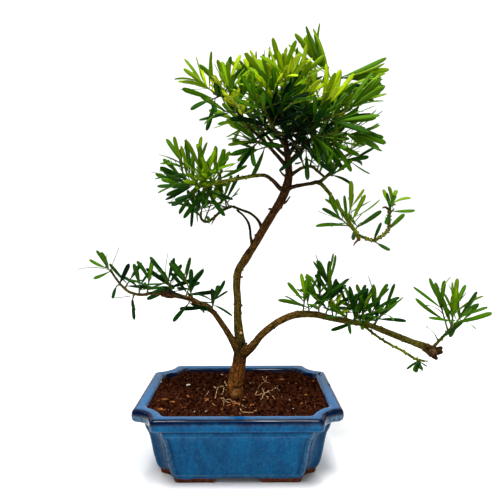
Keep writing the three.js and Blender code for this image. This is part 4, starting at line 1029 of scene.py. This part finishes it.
def panel_mask(points):
    """How far into a wall's sunk field each point lies, from 0 to 1, on the long and the short walls."""
    x, y, z = np.moveaxis(points, -1, 0)
    soft = PANEL.edge / 2
    up = smooth(PANEL.low - soft, PANEL.low + soft, z) * (1 - smooth(PANEL.high - soft, PANEL.high + soft, z))
    masks = []
    for along, across, half, out in ((x, y, POT.half_x, POT.half_y), (y, x, POT.half_y, POT.half_x)):
        edge = half + panel_reach(z)
        inside = 1 - smooth(edge - soft, edge + soft, np.abs(along))
        masks.append(up * inside * (np.abs(across) > out - PANEL.wall))
    return masks


def cut(target, *solids):
    """Cuts closed solids, each made of a few rings of points, out of an object."""
    cutters = []
    for rings in map(np.array, solids):
        rows, count = rings.shape[:2]
        ends = [tuple(range(count))[::-1], tuple(range((rows - 1) * count, rows * count))]
        mesh = bpy.data.meshes.new("cutter")
        faces = ring_quads(rows, count).tolist() + ends
        mesh.from_pydata(to_frame(rings.reshape(-1, 3)).tolist(), [], faces)
        cutters.append(add_object("cutter", mesh))
        step = target.modifiers.new("cut", "BOOLEAN")
        step.operation, step.object, step.solver = "DIFFERENCE", cutters[-1], "MANIFOLD"
    bpy.context.view_layer.update()
    mesh = bpy.data.meshes.new_from_object(target.evaluated_get(bpy.context.evaluated_depsgraph_get()))
    target.modifiers.clear()
    old, target.data = target.data, mesh
    bpy.data.meshes.remove(old)
    for cutter in cutters:
        bpy.data.objects.remove(cutter)


def arch_rings(size, reach, turned):
    flat, ground = POT.arch_flat * size / 2, POT.arch_ground * size / 2
    share = np.linspace(0, 1, 9)
    curve = ground * (1 - share) ** 2 + 2 * flat * share * (1 - share) + flat * share**2
    side = np.vstack([[ground, -1], np.column_stack([curve, POT.foot_height * share])])
    profile = np.vstack([side, side[::-1] * (-1, 1)])
    rings = [np.insert(profile, 1, end, axis=1) for end in (-reach, reach)]
    return [ring[:, [1, 0, 2]][::-1] for ring in rings] if turned else rings[::-1]


def pot_rings():
    body, lip = outside_rows(OUTSIDE, 1.1), outside_rows([OUTSIDE[-1], *LIP], 0.55)[1:]
    rings = []
    for inset, drawn, height, hollow in np.vstack([body, lip]):
        rounding = float(np.interp(drawn, (2, 12), (POT.tip_round, POT.inside_round)))
        rings.append(level(outline(POT.half_x - inset, POT.half_y - inset, hollow, drawn, rounding), height))
    rings += [level(inside_outline(height, 0), height) for height in (54, 42, 30, 20, POT.floor)]
    rings = np.array(rings)
    outer = rings[:len(body)]
    front, side = panel_mask(outer)
    outer[..., :2] -= np.sign(outer[..., :2]) * np.stack([side, front], -1) * PANEL.depth
    return rings


def build_pot():
    heap = Heap()
    heap.add(*tube(pot_rings(), [0, 0, 0], [0, 0, POT.floor]))
    glazes = [glaze_material("glaze_body", 0.06), glaze_material("glaze_rim", 0.15)]
    pot = heap.piece("glazed_pot", glazes, "glaze")
    inset, _, _, hollow = OUTSIDE[0]
    foot = outline(POT.half_x - inset, POT.half_y - inset, hollow, POT.foot_ring, POT.tip_round)
    holes = [arc(x, 0, POT.hole_radius, 0, 360, 40)[:-1] for x in (-POT.hole_offset, POT.hole_offset)]
    cut(
        pot, [level(foot, height) for height in (-1, POT.foot_height)],
        *([level(hole, height) for height in (1, POT.floor + 5)] for hole in holes),
        arch_rings(1, 90, False), arch_rings(POT.side_arch, 110, True),
    )
    paint_pot(pot.data)
    heights = np.array([polygon.center.z for polygon in pot.data.polygons])
    on_rim = (heights - SHIFT[2]) / MM > POT.rim_gloss
    pot.data.polygons.foreach_set("material_index", on_rim.astype(np.int32))
    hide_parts("pot")


def paint_pot(mesh):
    """Marks where the glaze is worn pale, where painted shade, a painted dark reflection and its pooling make
    it dark, where the rim's top is painted lighter, and where the clay is bare.
    """
    points = np.empty(len(mesh.vertices) * 3)
    mesh.vertices.foreach_get("co", points)
    points = (points.reshape(-1, 3) - SHIFT) / MM
    wobble, fine = (np.array([noise(point) for point in points * scale]) for scale in (0.09, 0.4))
    x, y, z = np.abs(points[:, 0]), np.abs(points[:, 1]), points[:, 2]
    insets, _, heights, hollows = np.array([*OUTSIDE, *LIP[:7]]).T
    inset, hollow = np.interp(z, heights, insets), np.interp(z, heights, hollows)
    half_x, half_y = POT.half_x - inset, POT.half_y - inset
    from_corner = np.hypot(x - half_x, y - half_y) - hollow
    drawn = np.minimum(POT.half_x - x, POT.half_y - y)
    drawn = np.minimum(drawn, np.hypot(x - POT.half_x, y - POT.half_y) - POT.rim_hollow)
    front, side = panel_mask(points)
    field = np.clip(front + side, 0, 1)
    body = (z < 57.5) & (z > POT.clay_height)

    # Pale: the tips of the corners, the borders of the fields, the lip's foot and its hollow corners.
    tip_x, tip_y = half_x - hollow - 1.6, half_y - hollow - 1.6
    tip = np.minimum(np.hypot(x - tip_x, y - half_y + 0.9), np.hypot(x - half_x + 0.9, y - tip_y))
    border = field * (1 - field) * 4 * np.where(np.abs(z - PANEL.high) > 2.5, 0.3, 0.16)
    edge = np.where(body, np.maximum(0.4 * hill(tip, 1.2), border), 0) * (0.7 + 0.8 * fine)
    lip_foot = hill(z - 58.9, 0.5) * (0.25 + 0.6 * fine)
    hollow_lip = hill(from_corner, 2.5) * smooth(58.5, 60, z) * (1 - smooth(65, 68.5, z)) * (0.3 + 0.7 * fine)
    edge = np.clip(np.maximum(edge, np.maximum(lip_foot, 0.9 * hollow_lip)), 0, 1)

    # Dark: a painted dark reflection on the rim's outer edge, painted shade under the lip where the glaze
    # also pools, a painted shadow beside the fields' upright borders, and painted shade in the hollow corners
    # and inside the rim.
    # Painted dark reflection along the rim's rounded outer edge.
    edge_dark_reflection = smooth(65, 70, z + 1.2 * wobble + 1.4 * fine) * (drawn < 9)
    edge_dark_reflection *= 1 - smooth(3.2, 5.2, drawn + 0.8 * wobble)
    reach = panel_reach(z)
    # Painted shadow in the sunk fields, just inside their upright borders.
    beside = np.maximum(hill(POT.half_x + reach - x - 2.4, 1.4), hill(POT.half_y + reach - y - 2.4, 1.4))
    beside = smooth(0.8, 1, field) * hill(field - 1, 0.1) * beside
    frame_shadow = np.where(body & (front + side > 0.5), beside, 0)
    # Painted shade in the hollow corners and under the lip (where the glaze also pools), the painted dark
    # reflection and the painted shadow.
    pool = 0.45 * hill(from_corner, 3) + edge_dark_reflection * (0.97 + 0.1 * wobble) + 0.85 * hill(z - 56.6, 2)
    # Painted shade on the inside of the rim, above the soil.
    pool = np.maximum(pool + 0.5 * frame_shadow, smooth(10.5, 12, drawn) * (z < 71.8) * (z > 60))

    # Painted light: the rim's flat top is marked to be paler, as lit from above.
    top = smooth(71.4, 71.9, z) * smooth(3, 6, drawn) * (1 - smooth(10, 12, drawn))
    bare = 1 - smooth(POT.clay_height - 0.5, POT.clay_height + 0.5, z + 1.2 * wobble)
    bare[(z < POT.foot_height + 0.2) & (x < half_x - 2) & (y < half_y - 2)] = 1
    set_attribute(mesh, "edge", edge)
    set_attribute(mesh, "pool", np.clip(pool, 0, 1))
    set_attribute(mesh, "pale", np.clip(top * (0.75 + 0.5 * wobble), 0, 1))
    set_attribute(mesh, "bare", bare)


build_pot()

# ---- Soil ----

SOIL = Sizes(level=68.3, rise=0.9, fall=-0.6, rings=64, clear=8.5, sunk=0.3)
FOOT = np.array([-3.0, -6.0])  # of the trunk


def soil_height(x, y):
    long = 0.7 * sin(x / 13 + 1) * cos(y / 11) + 0.4 * sin(x / 5.3 + y / 7.1)
    crumbs = 1.3 * noise((x * 0.4, y * 0.4, 3)) + 0.7 * noise((x, y, 9))
    edge = mix(SOIL.rise, SOIL.fall, smooth(15, 50, y)) * smooth(0.6, 0.95, max(abs(x) / 86, abs(y) / 61))
    return SOIL.level + long + crumbs + edge


def build_soil():
    rings = [level(inside_outline(height, 0.3)[::2], height) for height in (POT.floor + 0.3, 40)]
    rim = inside_outline(SOIL.level + SOIL.rise, 0.1)[::2]
    for share in np.linspace(1, 0.02, SOIL.rings):
        rings.append(np.array([(x, y, soil_height(x, y)) for x, y in mix(FOOT, rim, share)]))
    rings = np.array(rings)
    low, high = [*rings[0].mean(0)[:2], rings[0, 0, 2]], [*FOOT, rings[-1, 0, 2]]
    heap = Heap()
    heap.add(*tube(rings, low, high))
    soil = heap.piece("soil_bed", [soil_material("soil", linear(7, 1, 0), linear(58, 28, 15))], "soil")
    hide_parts("soil")


# Every lump is this icosahedron, warped.
PHI = (1 + 5**0.5) / 2
LUMP_POINTS = np.array([
    (-1, PHI, 0), (1, PHI, 0), (-1, -PHI, 0), (1, -PHI, 0), (0, -1, PHI), (0, 1, PHI),
    (0, -1, -PHI), (0, 1, -PHI), (PHI, 0, -1), (PHI, 0, 1), (-PHI, 0, -1), (-PHI, 0, 1),
]) / hypot(1, PHI)
LUMP_FACES = np.array([
    (0, 11, 5), (0, 5, 1), (0, 1, 7), (0, 7, 10), (0, 10, 11), (1, 5, 9), (5, 11, 4), (11, 10, 2),
    (10, 7, 6), (7, 1, 8), (3, 9, 4), (3, 4, 2), (3, 2, 6), (3, 6, 8), (3, 8, 9), (4, 9, 5), (2, 4, 11),
    (6, 2, 10), (8, 6, 7), (9, 8, 1),
])


draw = seeded(4242)  # for all the lumps, in the order in which they are laid


def lay_lump(heap, place, half_sizes, turn, tip):
    warp = np.array([0.75 + 0.5 * draw() for _ in LUMP_POINTS])
    lean = Matrix.Rotation(turn, 3, "Z") @ Matrix.Rotation(tip, 3, "X")
    heap.add((LUMP_POINTS * warp[:, None] * half_sizes) @ np.array(lean).T + place, triangles=LUMP_FACES)


def scatter(name, material, count, small, large, shape, placed=()):
    """Irregular lumps that lie on the soil, half sunk in it."""
    heap = Heap()
    half = inside_outline(SOIL.level, 1.5).max(0)
    corner = np.array([POT.half_x, POT.half_y])
    hollow = POT.rim_hollow + POT.half_x - half[0] + 1
    made = 0
    while made < count:
        place = np.array([2 * draw() - 1, 2 * draw() - 1]) * half
        size = mix(small, large, draw() ** 2)
        turn, tip = tau * draw(), draw()
        near_trunk = hypot(*(place - FOOT)) < SOIL.clear
        in_corner = hypot(*(corner - abs(place))) < hollow + size
        if near_trunk or in_corner or (abs(place) > half - size).any():
            continue
        half_sizes = size * np.array(shape)
        height = soil_height(*place) + half_sizes[2] * SOIL.sunk
        lay_lump(heap, (*place, height), half_sizes, turn, 0.5 * (tip - 0.5))
        made += 1
    for x, y, long, wide, turn in placed:
        half_sizes = np.array([long / 2, wide / 2, 1.0])
        lay_lump(heap, (x, y, soil_height(x, y) + 0.5), half_sizes, radians(turn), 0.1)
    heap.piece(name, [material], "soil", smooth_shaded=False)


# Larger bits that lie in the open: x, y, length, width in millimetres, and turn in degrees.
WHITE_BITS = table("-57 19.5 5.5 4 20, -21.1 50.7 3 2 0, -30 -51.4 2.4 2 0, -88 25.7 3 2 60")
BARK_BITS = table("""
    -31.7 -23.8 9 4 80, -75.1 -44.5 6.5 5 10, 48.4 30.7 7 4 0, -74.3 -23.5 9 3.5 5, -66.4 -28.4 7 3.5 -10,
    13.8 -33.8 6 4.5 40, -0.2 -31.3 7 4.5 20, -52.4 -13.6 9 2.4 115, -45 8 5 2.5 70, 70 -12 5 3 30,
    63 -34 4.5 3 80
""")
build_soil()
dark_crumb = soil_material("crumb_dark", linear(6, 1, 0), linear(38, 15, 8))
red_crumb = soil_material("crumb_red", linear(30, 10, 5), linear(92, 56, 38))
perlite = soil_material("perlite", linear(150, 140, 126), linear(214, 208, 198))
chip = soil_material("chip", linear(74, 38, 14), linear(142, 92, 48))
scatter("soil_crumbs_dark", dark_crumb, 1500, 0.5, 2.1, (1, 0.8, 0.7))
scatter("soil_crumbs_red", red_crumb, 1000, 0.4, 1.3, (1, 0.8, 0.7))
scatter("soil_perlite", perlite, 60, 0.3, 0.7, (1, 0.9, 0.8), WHITE_BITS)
scatter("soil_bark_chips", chip, 40, 0.7, 1.9, (1.7, 0.6, 0.35), BARK_BITS)

# Crumbs that were dropped on the rim: x, y and size in millimetres.
RIM_BITS = """
    98.4 8 1.2, 97.3 10.5 0.8, 92.3 40 1.5, 93.6 44 1.1, 91.6 47.5 0.8, 94.2 36.5 0.7, 96 20 0.6
"""
spilt = Heap()
for x, y, size in table(RIM_BITS):
    lay_lump(spilt, (x, y, POT.height + size * 0.35), size * np.array([1, 0.8, 0.6]), x, 0.2)
spilt.piece("soil_spilt", [dark_crumb], "soil", smooth_shaded=False)

# Fine pale roots that lie on the soil: radius, then points across the soil, in millimetres.
ROOTLETS = [
    "1, -9 15, -18.9 14.1, -24 8.4, -28.5 11.3", "0.5, -24 8.4, -24 -5.3, -24.1 -18.2",
    "0.45, -16.5 11.2, -16.8 -2.7, -18.1 -15.7", "0.45, -31.9 0.2, -34.1 -10.5, -34.3 -18.1",
    "0.4, -17.2 -13.2, -13.5 -23.3, -8.2 -30.5", "0.4, -12.7 -20.8, -7.5 -23.3, -2.3 -28.2",
    "0.35, -17.9 -18.3, -14.3 -28.1, -14.9 -35.2", "0.8, -9 12, -14.9 18.9, -16.7 29.2",
    "0.4, 26.1 44.5, 29 28.6, 34.4 22.5", "0.35, 31.9 44.4, 29 28.6, 23 16.6, 20.5 5.2",
    "0.5, 42.7 13.6, 36.7 5.1, 31.1 -0.4, 24.4 -8.3, 18.1 -13.5",
    "0.42, 25 8, 26.6 -5.7, 24.1 -18.6, 20.9 -26", "0.4, 31.1 -0.4, 34.8 -11, 37.3 -21.2",
    "0.4, 26.5 -8.3, 30.4 -16.1, 27.9 -26", "0.45, 19.4 -0.3, 17 -13.5", "0.3, 40.5 13.6, 44.1 2.3",
    "0.5, 2.1 -44.4, 6 -53.2, 12.6 -55.3, 18.4 -46.8", "0.35, 3.8 -33, 7.8 -40, 12.7 -37.7",
    "0.3, -2.3 -28.2, 1.9 -35.3", "0.3, -26 -32, -21 -38, -17 -35", "0.3, 8 20, 15 26, 19 22",
]
ROOT = Sizes(thick=0.85, thin_end=0.5, spacing=2.5, wander=0.9, lift=0.4, wave=1.6)
rootlets = Heap()
for (thickness,), *route in map(table, ROOTLETS):
    radius = ROOT.thick * thickness
    dense = Limb([(x, y, 0, radius * (1 - ROOT.thin_end * j / len(route))) for j, (x, y) in enumerate(route)])
    points = []
    for share in np.linspace(0, 1, max(3, int(dense.length / ROOT.spacing)) + 1):
        x, y, _ = dense.at(share)
        aside, ahead = (ROOT.wander * noise((x * 0.3, y * 0.3, z)) for z in (5, 35))
        lift = radius * (ROOT.lift + ROOT.wave * abs(noise((x * 0.25, y * 0.25, 20))))
        points.append((x + aside, y + ahead, soil_height(x, y) + lift, dense.radius(share)))
    add_limb(rootlets, Limb(points), 7, 0.8, 0.7, ((0, 0.2, 0, 0.85), (1, 0.1, 0, 0.7)))
rootlets.piece("rootlets", [bark], "bark")

# ---- Floor and light, in metres where nothing else is said ----

floor_look = Shader("floor", (0.9, 0.9, 0.9, 1), 0.6)
floor_look.set("Base Color", floor_look.ramp(floor_look.noise(40, 2), (0.0, 0.88), (1.0, 0.93)))
turns = np.linspace(0, pi / 2, 25)
bend = zip(1.2 + 0.8 * np.sin(turns), 0.8 - 0.8 * np.cos(turns))
profile = [(-8.0, 0.0), *bend, (2.0, 4.0)]
sweep = bpy.data.meshes.new("floor")
sweep.from_pydata(
    [(x, y, z) for y, z in profile for x in (-9, 9)], [],
    [(2 * i, 2 * i + 1, 2 * i + 3, 2 * i + 2) for i in range(len(profile) - 1)],
)
sweep.shade_smooth()
sweep.materials.append(floor_look.material)
floor = add_object("floor", sweep)


def area_light(name, place, target, size, power):
    """A rectangle of light; its place and target are in millimetres."""
    data = bpy.data.lights.new(name, "AREA")
    data.shape, data.size, data.size_y, data.energy = "RECTANGLE", *size, power
    light = add_object(name, data)
    light.location = to_frame(place)
    direction = Vector(to_frame(target)) - light.location
    light.rotation_euler = direction.to_track_quat("-Z", "Y").to_euler()


PLANT = (20, 0, 220)
area_light("key", (-350, -450, 1500), PLANT, (0.9, 0.9), 9)
area_light("fill", (700, -1300, 500), PLANT, (1.2, 1.2), 4)
area_light("back", (200, 700, 1100), PLANT, (0.9, 0.5), 6)
area_light("backdrop", (0, 800, 1900), (0, 2000, 550), (6.0, 0.3), 50)
for name, x, width in (("window_left", -292, 0.035), ("window_middle", 62, 0.08), ("window_right", 192, 0.1)):
    area_light(name, (x, -330, 1040), (x * 0.2, -70, 70), (width, 0.3), 5)

world = bpy.data.worlds.new("studio")
world.use_nodes = True
background = world.node_tree.nodes["Background"].inputs
background["Color"].default_value, background["Strength"].default_value = (1, 1, 1, 1), 0.2
bpy.context.scene.world = world
bpy.context.scene.view_settings.view_transform = "Standard"

bpy.context.view_layer.update()
